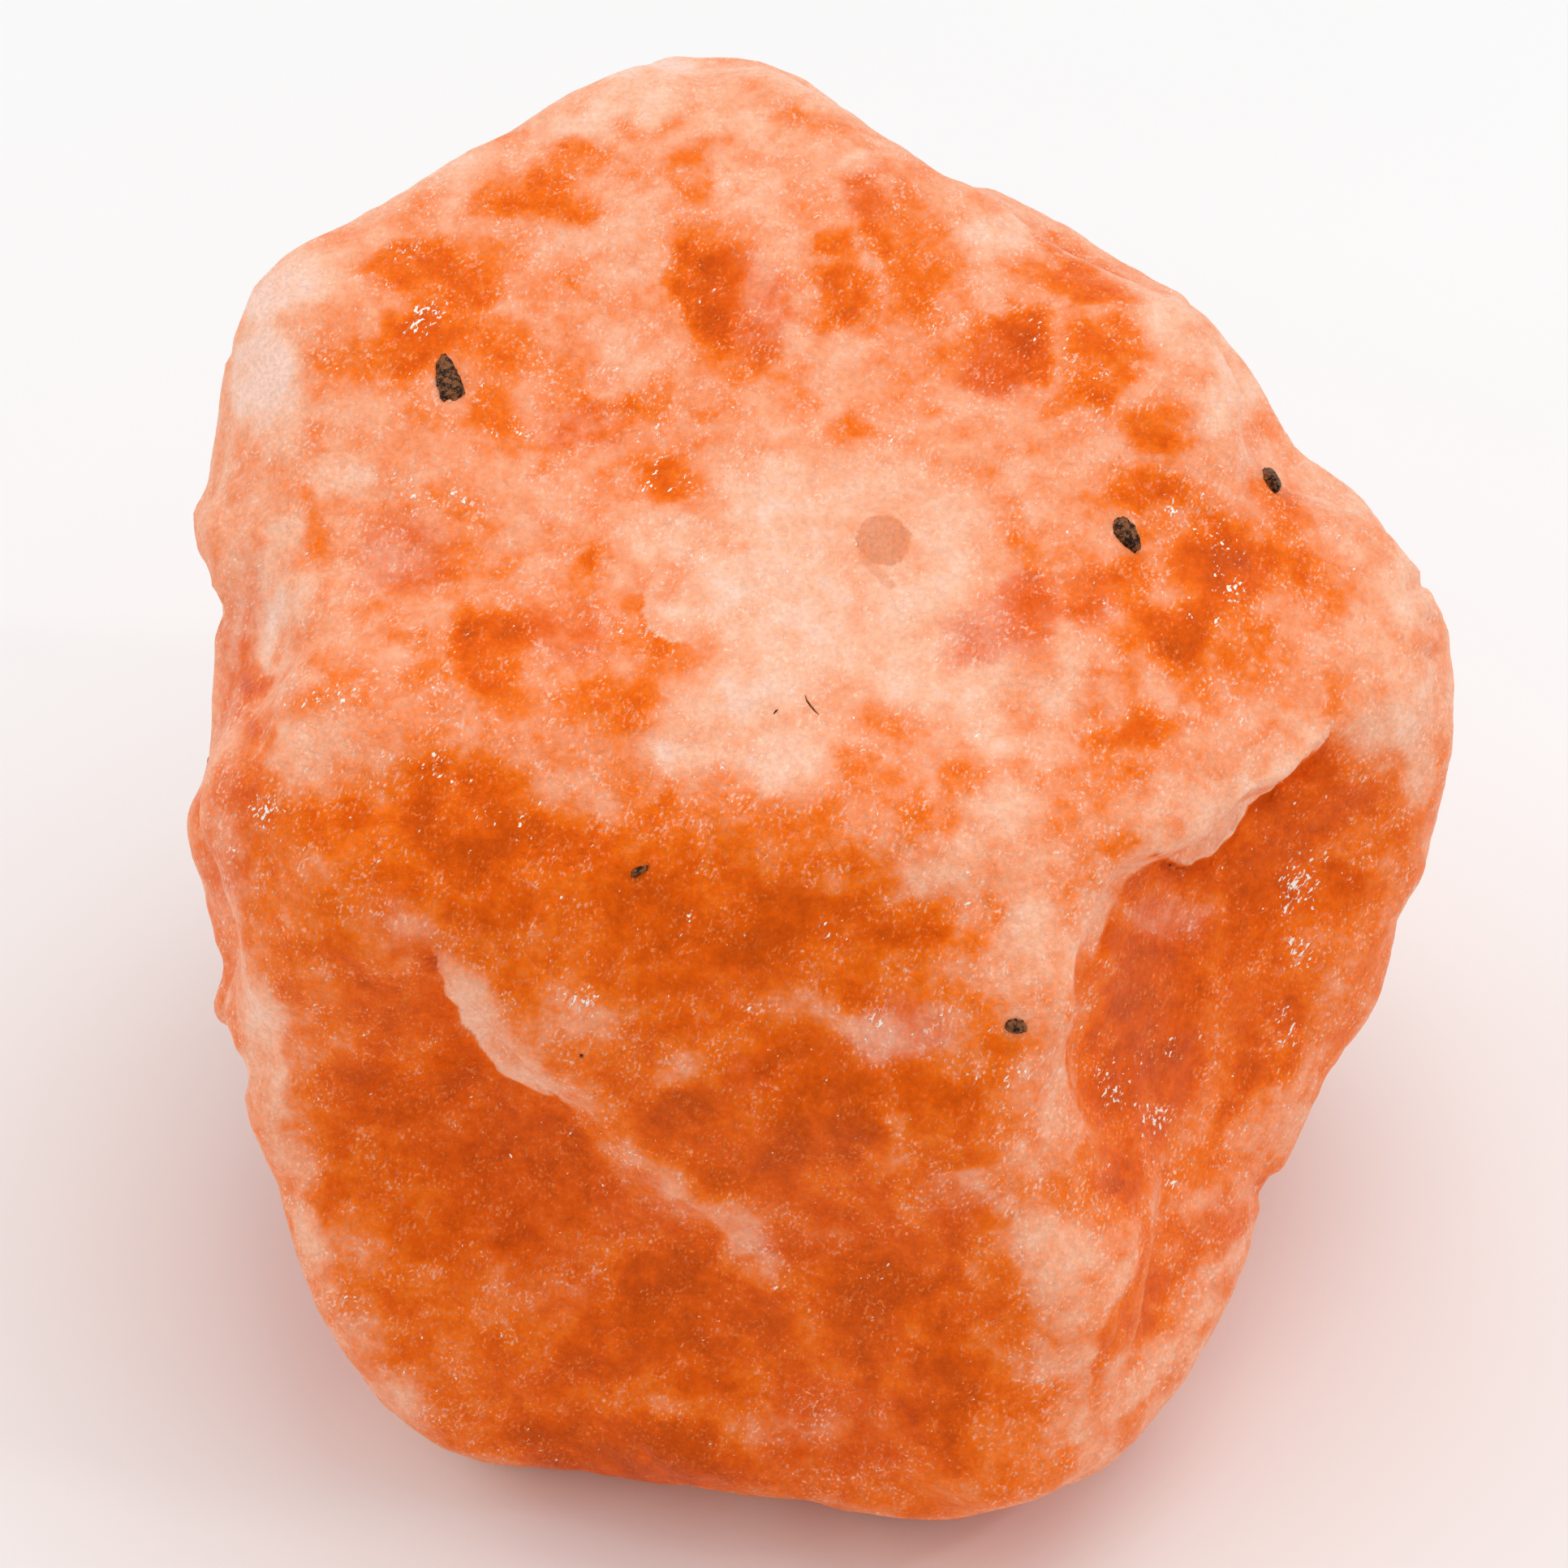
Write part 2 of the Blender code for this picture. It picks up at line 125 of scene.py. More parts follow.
# Patches of clear, deep orange stone, and low on the front partly painted shade: right, up, half width, half height,
# turn in degrees, strength.
DEEP_MM = [
    (-15.5, 19.8, 2.3, 1.0, 10, 0.75), (-13.4, 18.8, 1.4, 1.0, -20, 0.6), (-15.2, 16.9, 2.0, 1.5, 10, 0.9),
    (-11.0, 22.2, 2.4, 1.0, -12, 0.8), (-9.3, 23.6, 1.2, 0.8, 0, 0.45), (-7.0, 24.6, 1.4, 0.5, 0, 0.4),
    (-5.2, 23.0, 0.9, 1.3, 0, 0.6), (-4.6, 18.4, 1.1, 2.3, 10, 1.0), (-3.0, 18.6, 1.6, 1.6, 0, 0.45),
    (-5.9, 11.6, 1.4, 0.8, 10, 0.8), (-19.4, 9.2, 0.7, 2.0, 8, 0.5), (-13.0, 5.3, 1.3, 1.7, -10, 0.95),
    (-12.2, 16.4, 1.7, 1.0, -15, 0.5), (-12.8, 13.9, 1.0, 0.8, 0, 0.5), (-8.7, 8.7, 0.5, 0.5, 0, 0.8),
    (-15.5, 9.0, 2.4, 1.6, 0, 0.3), (-18.8, 17.0, 1.5, 1.3, 0, 0.35), (-2.4, 26.0, 1.7, 0.6, -8, 0.4),
    (-1.0, 25.2, 1.1, 0.5, -20, 0.4), (-8.6, 13.5, 2.0, 1.0, 20, 0.35),
    (2.1, 20.7, 0.8, 0.6, -30, 0.9), (1.8, 22.2, 1.2, 1.1, -30, 0.5), (0.6, 18.6, 0.9, 1.2, -15, 0.9),
    (0.5, 20.5, 0.7, 0.6, 0, 0.6), (8.5, 20.3, 1.0, 0.5, -30, 0.7), (9.8, 18.9, 2.0, 0.6, -15, 0.8),
    (7.2, 17.2, 1.0, 1.1, -40, 0.8), (7.8, 15.7, 0.6, 0.7, 0, 0.85), (10.5, 16.3, 1.6, 1.5, -20, 0.75),
    (10.0, 15.0, 1.3, 0.7, 10, 0.8), (12.7, 13.4, 1.4, 1.4, -30, 1.0), (11.9, 11.1, 1.4, 0.8, -10, 0.6),
    (15.0, 8.4, 1.6, 2.0, -10, 0.9), (13.0, 5.8, 1.8, 1.2, 5, 1.0), (18.5, 8.2, 1.3, 1.0, -40, 0.5),
    (9.3, 7.4, 1.6, 0.7, 0, 0.4), (1.2, 13.3, 1.6, 0.5, -10, 0.4), (17.0, 10.5, 1.3, 0.5, -35, 0.5),
    (-13.6, -1.5, 2.6, 2.5, -20, 1.0), (-12.2, -4.3, 1.6, 1.2, 0, 0.9), (-5.0, -3.6, 2.6, 1.5, -5, 0.95),
    (-6.6, -5.2, 1.6, 1.2, -20, 0.9), (-2.4, -5.2, 2.3, 1.6, -5, 0.95), (-1.0, -3.2, 1.2, 0.8, 10, 0.9),
    (-7.8, 3.2, 1.6, 1.1, -10, 0.5), (-2.0, -0.9, 2.0, 0.6, -8, 0.5), (-19.0, -5.8, 1.3, 0.7, -10, 0.8),
    (-21.2, -1.8, 0.5, 1.2, -20, 0.5), (-21.3, 4.3, 0.4, 1.8, 0, 0.5), (-16.5, -11.2, 2.6, 1.4, -5, 0.85),
    (-13.0, -11.3, 2.0, 1.3, -30, 0.8), (-10.5, -13.6, 1.8, 1.2, -35, 1.0), (-17.4, -7.3, 1.2, 1.4, -30, 0.6),
    (-14.2, -8.7, 0.6, 1.0, 20, 0.8), (-15.2, -14.0, 1.4, 0.8, 0, 0.7), (-14.7, -16.7, 1.2, 1.2, 30, 0.85),
    (-18.2, -14.8, 0.8, 0.6, 0, 0.5), (-5.2, -11.7, 1.0, 1.2, -20, 0.85), (-6.6, -8.9, 1.6, 0.7, 5, 0.8),
    (-1.2, -9.9, 1.3, 1.5, 0, 0.85), (-11.6, -6.6, 1.0, 0.7, -40, 0.6), (-4.2, -14.0, 1.0, 0.5, 0, 0.7),
    (-1.0, -13.0, 1.4, 1.2, 0, 0.8),
    (2.0, -4.8, 1.8, 0.8, -12, 0.9), (3.7, -5.1, 0.7, 1.0, 20, 0.9), (1.3, -3.0, 1.6, 0.6, -10, 0.6),
    (1.3, -7.5, 1.0, 0.5, -20, 0.8), (0.4, -10.6, 2.2, 1.3, -10, 0.9), (2.8, -10.8, 1.2, 1.0, 0, 0.8),
    (0.6, -12.9, 1.5, 1.2, 0, 0.9), (5.2, -11.0, 1.4, 1.0, 10, 0.65), (5.5, -13.6, 1.0, 0.45, 15, 0.85),
    (3.0, -14.7, 1.0, 0.7, 0, 0.7), (1.2, 0.9, 1.2, 0.6, -20, 0.5), (3.2, -0.8, 0.8, 0.8, 30, 0.55),
    (4.8, 0.9, 0.9, 0.8, -50, 0.5), (11.6, 2.2, 1.3, 0.8, 10, 0.6), (10.9, -2.0, 0.9, 0.4, 0, 0.4),
    (15.6, 5.2, 0.9, 1.2, -20, 0.7),
    (14.5, -5.5, 3.4, 5.0, -35, 0.55), (18.8, -0.8, 1.3, 1.3, 0, 0.9), (14.8, -3.1, 1.1, 0.7, 20, 0.9),
    (11.2, -5.6, 0.8, 0.4, -10, 0.9), (12.0, -7.8, 1.5, 2.0, -20, 0.9), (14.6, -7.2, 0.9, 0.8, 20, 0.9),
    (10.7, -11.0, 1.1, 1.6, 0, 0.9), (17.3, -8.5, 0.8, 0.6, 0, 0.8), (10.7, -14.2, 1.1, 0.9, 0, 0.8),
    (19.4, -3.3, 0.9, 0.8, 0, 0.85), (17.0, -2.5, 1.2, 1.5, -20, 0.7), (14.5, -10.5, 2.0, 1.6, 30, 0.35),
    (-15.3, -20.4, 1.3, 1.2, 0, 0.5), (-6.3, -18.8, 1.9, 1.2, -10, 1.0), (-8.9, -21.0, 0.9, 1.1, 0, 0.7),
    # Along the bottom edge, about 25 mm below the middle, the long flat patches are partly painted shade of the foot.
    (-6.2, -20.5, 0.9, 0.9, 0, 0.7), (-4.0, -21.5, 0.9, 1.3, 0, 0.6), (-9.0, -24.9, 2.4, 0.5, 0, 0.8),
    (-6.0, -25.2, 3.0, 0.6, -5, 0.9), (-3.0, -25.6, 1.5, 0.7, 0, 0.8), (-11.0, -24.0, 1.0, 0.7, 0, 0.4),
    (1.8, -18.4, 1.7, 1.2, -20, 1.0), (2.2, -20.5, 1.0, 1.0, 0, 0.85), (4.6, -17.3, 0.7, 1.5, 10, 0.85),
    (5.0, -22.4, 2.2, 1.5, -30, 0.9), (3.7, -23.9, 1.3, 1.2, 0, 0.9), (4.6, -20.3, 0.9, 0.9, 0, 0.8),
    (7.2, -22.8, 1.0, 0.8, 0, 0.5), (6.6, -19.2, 1.0, 1.8, 0, 0.55), (5.2, -25.4, 1.0, 0.5, 0, 0.5),
    (12.0, -19.0, 0.6, 1.7, -25, 0.55), (13.8, -16.5, 1.4, 1.2, -30, 0.4),
    # These three broad patches darken the foot: painted shade where less light reaches it.
    (-4.5, -19.5, 5.0, 3.0, 0, 0.45), (-6.5, -24.6, 5.0, 1.6, -5, 0.7), (1.5, -25.5, 5.0, 1.0, -5, 0.4),
]

# Patches of pale, frosted stone, in the same form.
PALE_MM = [
    (-20.4, 18.6, 2.1, 1.1, 45, 0.8), (-21.2, 15.2, 1.4, 2.2, 5, 0.9), (-17.8, 11.6, 1.3, 1.0, 0, 0.7),
    (-8.0, 25.4, 2.5, 0.8, 20, 0.8), (-6.2, 26.9, 1.8, 0.6, 0, 0.85), (-8.4, 20.6, 2.0, 0.7, 10, 0.5),
    (-7.0, 19.0, 1.5, 1.3, 0, 0.45), (-2.9, 22.2, 1.2, 0.9, 0, 0.6), (-3.4, 24.6, 1.3, 0.5, -10, 0.55),
    (-7.3, 16.4, 1.5, 1.3, 0, 0.4), (-6.3, 9.5, 1.9, 1.0, 0, 0.75), (-5.4, 6.5, 0.9, 0.5, -10, 0.9),
    (-2.5, 7.2, 2.6, 2.2, 0, 0.9), (-3.0, 12.0, 1.8, 0.8, -10, 0.5), (-2.2, 3.6, 2.6, 2.2, 0, 0.95),
    (-5.2, 1.2, 1.1, 1.0, 0, 0.85), (-1.5, 1.2, 2.2, 1.2, 0, 0.9), (-17.4, 7.6, 2.0, 0.6, 0, 0.35),
    (6.3, 20.6, 1.3, 0.8, -10, 0.75), (6.4, 18.7, 1.0, 0.6, 0, 0.65), (0.7, 16.4, 1.0, 0.6, 0, 0.65),
    (1.1, 23.5, 0.6, 0.5, -30, 0.6), (1.2, 9.4, 5.0, 3.6, -8, 0.95), (5.3, 9.0, 1.3, 1.8, 0, 0.85),
    (9.6, 13.2, 2.2, 0.8, -8, 0.5), (8.2, 11.6, 1.8, 1.2, 0, 0.5), (12.9, 17.2, 1.3, 0.9, -40, 0.75),
    (15.2, 15.6, 0.8, 2.0, 15, 0.6), (17.6, 12.2, 1.6, 0.8, -20, 0.55), (9.2, 5.4, 1.0, 1.2, 0, 0.5),
    (18.9, 5.0, 1.0, 0.8, 0, 0.55), (3.6, 4.6, 3.0, 1.4, -15, 0.75), (1.5, 6.0, 3.0, 2.0, 0, 0.85),
    (-13.2, -8.2, 0.8, 1.7, 30, 0.95), (-11.5, -10.2, 1.5, 0.7, -30, 0.8), (-10.0, -8.6, 1.5, 1.0, 0, 0.45),
    (-20.7, 5.2, 0.5, 2.0, -8, 0.6), (-19.6, 1.2, 1.0, 1.2, 0, 0.5), (-14.7, 3.2, 1.3, 0.9, 10, 0.4),
    (-21.0, -9.4, 0.9, 3.2, 5, 0.75), (-9.2, -0.5, 1.5, 1.3, -20, 0.5), (-16.0, -4.6, 1.6, 0.8, -35, 0.4),
    (-9.0, -7.6, 1.2, 0.7, 0, 0.45), (-2.9, -16.7, 1.6, 0.8, -10, 0.55), (-2.6, -10.8, 0.8, 0.6, 0, 0.35),
    (-19.4, -17.4, 0.7, 2.4, -15, 0.55), (-22.4, -3.0, 0.6, 2.0, 0, 0.3), (-22.6, 10.0, 0.6, 1.5, 0, 0.3),
    (14.7, -0.8, 1.6, 1.0, 38, 1.0), (13.9, -2.1, 0.6, 0.5, 0, 0.9), (16.6, 1.2, 1.2, 0.8, 30, 0.75),
    (17.2, 3.2, 1.3, 0.9, 20, 0.5), (6.8, -0.7, 1.3, 1.1, 0, 0.75), (5.6, -2.0, 0.9, 0.7, 0, 0.6),
    (7.5, 1.6, 2.0, 0.6, -22, 0.55), (8.0, -5.2, 1.7, 1.2, 0, 0.6), (9.9, -4.8, 0.6, 1.1, -10, 0.75),
    (9.0, -8.0, 0.7, 2.0, 0, 0.55), (8.8, -12.2, 0.8, 2.2, 0, 0.6), (2.3, -9.0, 1.8, 0.8, -10, 0.45),
    (-1.8, -8.3, 1.4, 0.6, -10, 0.35), (12.4, 3.8, 0.7, 0.5, 0, 0.5), (12.4, -0.6, 2.0, 1.2, 20, 0.35),
    (9.0, -16.8, 2.3, 1.2, -10, 0.65), (11.2, -17.8, 0.5, 1.6, -22, 0.8), (-8.6, -18.7, 0.8, 0.6, 0, 0.4),
    (-3.8, -24.4, 0.9, 0.4, 0, 0.45), (5.3, -14.8, 1.0, 0.8, 0, 0.35), (6.6, -15.4, 0.6, 0.5, 0, 0.6),
    (10.8, -22.3, 1.1, 0.9, -30, 0.45), (15.4, -17.5, 0.6, 2.2, -22, 0.6), (13.2, -21.6, 0.6, 1.8, -38, 0.5),
    (18.3, -9.6, 0.6, 2.4, -28, 0.35), (11.0, -4.7, 0.7, 0.7, 0, 0.4), (12.7, -5.3, 1.2, 0.9, 0, 0.25),
    (7.3, -18.6, 0.35, 0.35, 0, 0.6), (9.6, -5.9, 1.2, 0.5, 30, 0.4),
    (-5.6, -10.4, 0.9, 0.5, 10, 0.6), (-3.1, -11.2, 0.7, 0.9, 0, 0.55), (0.0, -8.1, 1.8, 0.7, -8, 0.55),
    (1.9, -9.1, 0.8, 0.8, 0, 0.5), (-5.4, -15.0, 1.4, 0.8, -25, 0.5), (-7.2, -13.6, 0.8, 0.5, -40, 0.5),
    (-8.5, -18.5, 0.8, 0.4, 0, 0.4), (0.4, -16.6, 1.2, 0.6, -15, 0.4), (2.6, -12.4, 0.5, 0.4, 0, 0.4),
    (-0.8, -14.9, 0.7, 0.5, 20, 0.35), (-13.0, -16.4, 1.2, 0.6, 20, 0.35), (-10.6, -16.0, 0.8, 0.5, -20, 0.35),
]

# Places that are deeper, or with an amount below zero paler, than the patches above make them: the same form, with
# the amount in place of the strength.
SHADES_MM = [
    (6.3, 16.4, 1.6, 1.4, 0, 0.26), (3.0, 19.6, 1.1, 2.3, 0, 0.2), (9.4, 13.9, 1.4, 1.0, 0, 0.2),
    (-6.5, 14.7, 1.1, 1.1, 0, 0.2), (-3.5, 16.0, 1.6, 0.9, 0, 0.14), (6.6, 8.2, 1.5, 3.2, 0, 0.12),
    (8.6, 6.4, 1.4, 0.8, 0, 0.16), (11.6, 7.5, 1.0, 1.4, 0, 0.3), (13.3, 10.6, 1.4, 1.0, 0, 0.2),
    (17.4, 8.6, 1.6, 1.8, -20, 0.16), (16.9, 0.9, 1.0, 1.3, 0, 0.25), (20.6, 0.0, 1.0, 1.5, 0, 0.18),
    (-17.4, 16.4, 2.2, 1.8, 0, 0.14), (-14.2, 18.6, 1.6, 1.0, 0, 0.12), (-14.0, 12.6, 2.4, 1.6, 0, 0.1),
    (-10.4, 7.0, 3.2, 1.6, 0, 0.14), (-15.5, 3.6, 5.5, 1.3, 0, 0.12), (-21.4, 2.2, 1.0, 2.6, 0, 0.16),
    (-18.4, -1.3, 1.6, 1.1, 0, 0.3), (-10.3, -2.0, 2.4, 1.4, 0, 0.3), (-13.0, -4.8, 1.6, 1.8, 0, 0.2),
    (-5.2, -1.5, 1.6, 1.0, 0, 0.12), (-7.0, -6.7, 3.2, 1.3, 0, 0.28), (0.2, -5.0, 1.3, 1.2, 0, 0.16),
    (-3.4, -12.6, 3.0, 2.2, 0, 0.25), (-11.5, -14.8, 3.2, 2.8, 0, 0.2), (-17.0, -12.0, 2.2, 2.2, 0, 0.08),
    (-16.0, -8.6, 1.6, 1.2, 0, 0.16), (-4.6, -19.3, 2.8, 1.8, -20, 0.25), (2.0, -18.8, 2.2, 3.0, 0, 0.18),
    (-10.0, -21.8, 3.0, 2.0, 0, 0.14), (12.0, -11.8, 1.0, 2.6, 0, 0.16), (-8.0, -24.4, 5.0, 1.2, -4, 0.25),
    (2.0, 11.0, 4.0, 4.0, 0, 0.04),
    (-20.3, 14.3, 1.3, 1.9, 0, -0.16), (-20.3, 8.0, 1.2, 2.0, 0, -0.24), (-19.5, 19.2, 1.8, 1.0, 35, -0.14),
    (-16.0, 8.7, 1.7, 0.7, 0, -0.14), (-13.0, 22.9, 2.2, 1.0, 10, -0.18), (-4.8, 23.4, 1.6, 1.4, 0, -0.14),
    (-2.0, 26.0, 3.0, 0.9, -8, -0.16), (-2.7, 18.7, 1.0, 1.3, 0, -0.16), (-10.0, 13.6, 1.6, 1.0, 0, -0.12),
    (13.8, 14.0, 1.8, 1.0, 0, -0.18), (21.2, 3.2, 1.4, 1.6, 0, -0.22), (21.8, 8.0, 1.2, 2.2, 0, -0.16),
    (13.4, -0.2, 1.3, 1.2, 0, -0.1), (7.7, -2.6, 1.6, 2.2, 0, -0.22), (7.5, -6.4, 1.6, 2.6, 0, -0.2),
    (2.8, -3.3, 1.3, 1.2, 0, -0.14), (4.0, -8.8, 1.8, 1.0, 0, -0.14), (7.8, -12.0, 1.2, 2.4, 0, -0.14),
    (8.4, -17.8, 1.8, 2.4, 0, -0.22), (12.5, -4.5, 2.2, 1.2, 0, -0.12), (14.6, -10.4, 1.0, 1.8, -20, -0.14),
    (13.4, -16.2, 1.2, 1.8, -20, -0.18), (16.4, -12.8, 1.0, 3.0, -28, -0.2), (-21.2, -9.6, 1.1, 3.2, 8, -0.2),
    (-19.6, -15.2, 0.9, 3.2, 15, -0.2), (-16.8, -21.0, 1.2, 3.2, 35, -0.2), (-2.7, -17.6, 1.4, 0.9, 0, -0.16),
    (10.6, -22.8, 1.6, 2.8, -35, -0.24), (13.4, -19.8, 0.9, 3.2, -32, -0.2),
    (-12.0, 2.5, 3.0, 1.5, 0, 0.06), (11.0, 2.5, 2.0, 2.5, 0, 0.1), (-16.6, 0.8, 1.2, 1.0, 0, 0.08),
    (-15.0, 15.0, 1.2, 1.4, 0, 0.12), (-0.5, 18.5, 1.2, 1.6, 0, 0.1), (-14.5, 5.0, 1.4, 1.2, 0, 0.1),
    (9.5, 6.0, 1.2, 1.0, 0, 0.1), (14.8, 6.8, 1.2, 1.2, 0, 0.14), (13.0, 4.5, 1.4, 1.2, 0, 0.12),
    (17.0, 0.3, 1.2, 1.4, -40, 0.12), (-13.5, -1.6, 2.2, 1.6, 0, 0.14), (-16.8, -3.6, 1.6, 1.2, 0, 0.1),
    (-7.0, -4.0, 2.0, 1.2, 0, 0.14), (-2.0, -6.6, 1.6, 1.2, 0, 0.12), (0.4, -12.0, 2.4, 1.6, 0, 0.12),
    (0.0, -15.0, 1.8, 1.6, 0, 0.12), (4.0, -12.5, 1.2, 1.8, 0, 0.08), (-21.5, -7.3, 0.8, 1.0, 0, 0.1),
    (-21.0, -0.8, 1.2, 1.2, 0, 0.12), (-16.6, -20.2, 1.2, 2.0, 35, 0.14), (4.2, -23.2, 1.4, 2.2, 30, 0.14),
    (-12.4, -18.2, 2.4, 1.4, -20, 0.06), (10.8, -21.8, 1.0, 1.6, -30, 0.12), (16.6, -11.4, 0.9, 1.6, -25, 0.12),
    (8.3, -17.0, 1.2, 0.9, 0, 0.1), (-5.0, -21.0, 2.0, 1.2, 0, 0.06),
    (-20.0, 8.5, 1.0, 1.2, 0, 0.1), (-13.0, 9.5, 1.3, 1.3, 0, 0.1), (-13.0, 7.0, 1.2, 1.0, 0, 0.08),
    (-8.0, 3.0, 2.2, 1.4, 0, 0.12), (-3.1, 4.8, 1.1, 1.1, 0, 0.1), (9.4, 12.0, 1.8, 2.0, 0, 0.1),
    (12.0, 6.0, 1.2, 1.0, 0, 0.08), (18.2, 4.0, 2.0, 1.6, 0, 0.14), (21.0, 3.6, 1.2, 1.6, 0, 0.1),
    (-15.3, 10.0, 1.2, 1.4, 0, -0.1), (-5.5, 11.3, 1.3, 1.2, 0, -0.1), (-7.0, 5.9, 1.3, 1.0, 0, -0.08),
    (-4.6, 0.8, 1.4, 1.2, 0, -0.1), (9.4, 3.0, 1.6, 1.4, 0, -0.1), (6.6, 1.0, 1.2, 1.0, 0, -0.08),
    (4.4, -3.0, 2.0, 1.8, 0, -0.1), (-13.0, 17.6, 1.2, 1.4, 0, -0.08), (-11.4, -11.6, 1.3, 1.2, 0, -0.1),
    (-13.2, -15.0, 1.4, 1.0, 0, -0.06), (-8.0, -23.2, 2.0, 1.0, 0, -0.06), (5.5, -20.4, 1.0, 1.8, 0, -0.05),
    (-21.0, 15.5, 1.4, 3.2, 0, -0.12), (-18.5, 17.4, 1.4, 1.4, 0, -0.12), (-17.0, 8.6, 1.4, 1.4, 0, -0.1),
    (-21.2, 5.8, 1.1, 1.6, 0, -0.12), (-11.6, 8.0, 1.6, 1.6, 0, -0.12), (-7.5, 6.9, 1.6, 1.6, 0, -0.14),
    (-8.5, 20.0, 2.0, 1.0, 0, -0.08), (-8.8, 23.7, 1.2, 1.0, 0, -0.1), (-2.2, 24.0, 1.4, 1.0, 0, -0.12),
    (-4.5, 26.2, 2.0, 0.9, 0, -0.08), (0.9, 15.0, 1.8, 1.1, 0, -0.14), (6.0, 13.7, 1.3, 1.1, 0, -0.12),
    (5.4, 2.2, 1.8, 1.3, -20, -0.22), (5.0, 6.0, 1.3, 1.0, 0, -0.1), (8.6, 3.5, 1.2, 1.0, 0, -0.12),
    (-3.5, 2.0, 1.4, 1.2, 0, -0.08), (-6.6, 0.5, 1.2, 1.0, 0, -0.1), (18.6, 9.6, 1.6, 2.0, -20, -0.1),
    (21.9, 1.0, 0.9, 1.6, 0, -0.12), (5.0, -4.0, 1.2, 1.6, 0, -0.12), (12.8, -4.5, 1.4, 1.2, 0, -0.16),
    (-8.8, -6.5, 1.2, 1.0, 0, -0.12), (-21.5, -4.0, 1.0, 1.4, 0, -0.08), (-19.6, -10.0, 1.2, 2.0, 0, -0.1),
    (13.8, -12.5, 0.9, 1.8, -20, -0.14), (8.4, -14.4, 1.2, 1.0, 0, -0.08), (8.7, -21.4, 1.0, 2.4, 0, -0.12),
    (-3.0, -18.0, 1.4, 1.2, 0, -0.1), (-6.5, -23.0, 1.6, 0.8, 0, -0.1), (-1.0, -23.6, 1.4, 0.9, 0, -0.1),
]

# Patches that lean to pink and red rather than orange, in the same form.
PINK_MM = [
    (6.4, 16.0, 1.8, 1.5, 0, 0.8), (7.1, 7.1, 1.3, 0.9, 0, 0.8), (-3.0, 18.0, 2.2, 2.4, 0, 0.6),
    (5.8, 5.6, 1.6, 1.2, -20, 0.6), (-10.0, 6.0, 2.2, 1.6, 0, 0.5), (-15.6, 9.0, 2.4, 1.8, 0, 0.6),
    (-8.6, 13.4, 2.0, 1.3, 0, 0.5), (1.6, 22.2, 1.4, 1.3, 0, 0.5), (12.8, -5.0, 2.0, 1.4, 0, 0.7),
    (2.4, -9.0, 2.4, 1.4, 0, 0.7), (-2.6, -10.8, 1.3, 1.0, 0, 0.8), (-12.5, -13.5, 3.5, 2.6, -20, 0.5),
    (-1.0, -16.4, 3.6, 2.0, -10, 0.6), (-11.0, -17.5, 3.5, 2.4, 0, 0.5), (0.5, -24.0, 4.0, 2.4, 0, 0.6),
    (-7.0, -15.6, 2.6, 1.6, -20, 0.6), (-16.0, -5.2, 2.4, 1.4, -30, 0.5), (5.0, -15.2, 1.8, 1.3, 0, 0.5),
    (12.8, -10.5, 2.2, 2.2, 0, 0.4), (-21.8, 6.0, 1.2, 4.0, 0, 0.5), (-22.4, -2.0, 1.2, 4.0, 0, 0.5),
    (9.4, 7.0, 2.2, 1.2, 0, 0.5), (14.6, -16.6, 2.4, 2.4, -30, 0.4), (-3.2, -7.4, 3.0, 1.2, 0, 0.4),
    (7.0, 6.2, 2.0, 1.6, 0, 0.5),
]

# Places where many wet glints sit close together, in the same form.
GLINT_MM = [
    (17.6, -3.8, 0.9, 1.2, -10, 1.0), (17.5, -6.2, 0.7, 0.9, -10, 1.0), (17.2, -8.8, 0.6, 0.9, 0, 0.9),
    (13.5, -9.2, 0.9, 1.4, -20, 0.6), (11.0, -10.9, 1.4, 1.2, 0, 0.7), (12.2, -12.4, 0.9, 0.9, 0, 0.6),
    (10.4, -14.2, 0.6, 0.5, 0, 0.6), (12.8, -14.8, 0.4, 0.4, 0, 0.7), (7.0, -11.5, 0.8, 1.2, -20, 0.6),
    (-14.6, 0.9, 1.8, 0.9, -20, 0.6), (-12.0, -1.2, 1.6, 1.6, 0, 0.4), (-21.0, -1.2, 0.8, 1.4, 0, 0.7),
    (-9.2, -7.8, 1.1, 0.5, 10, 0.8), (-5.2, -4.5, 0.4, 0.3, 0, 0.8), (-15.0, 17.6, 0.9, 0.7, 30, 0.9),
    (-16.0, 19.6, 1.2, 0.8, 20, 0.5), (-6.0, 11.6, 1.2, 0.8, 0, 0.8), (-6.8, 13.4, 0.8, 0.8, 0, 0.6),
    (-11.8, 13.6, 0.9, 1.2, 0, 0.6), (-15.2, 13.2, 1.8, 1.0, 0, 0.4), (-14.6, 10.8, 1.6, 0.9, 0, 0.5),
    (-19.4, 9.6, 0.5, 1.6, 0, 0.6), (-19.0, 3.4, 2.0, 0.6, 10, 0.7), (-8.4, 15.5, 0.9, 0.6, 0, 0.5),
    (15.0, 8.4, 0.8, 1.8, 0, 0.7), (13.9, 7.4, 0.6, 1.4, 0, 0.5), (12.9, 10.5, 0.5, 0.5, 0, 0.8),
    (14.4, 5.8, 1.6, 1.2, 0, 0.4), (8.0, 17.0, 0.7, 0.6, -40, 0.6), (9.8, 16.4, 1.6, 1.2, 0, 0.4),
    (0.4, -5.2, 0.8, 0.5, 0, 0.7), (2.6, -9.2, 1.8, 0.8, 0, 0.6), (18.4, -3.0, 1.4, 1.2, 0, 0.5),
    (-7.8, 6.0, 0.7, 0.5, 0, 0.6), (5.6, 2.0, 0.5, 0.4, 0, 0.6), (-18.4, 17.6, 1.0, 0.7, 0, 0.4),
]

# The eye sees the top at a slant, so the fine patterns are drawn out along its line of sight by this much.
ALONG_SIGHT = 2.2
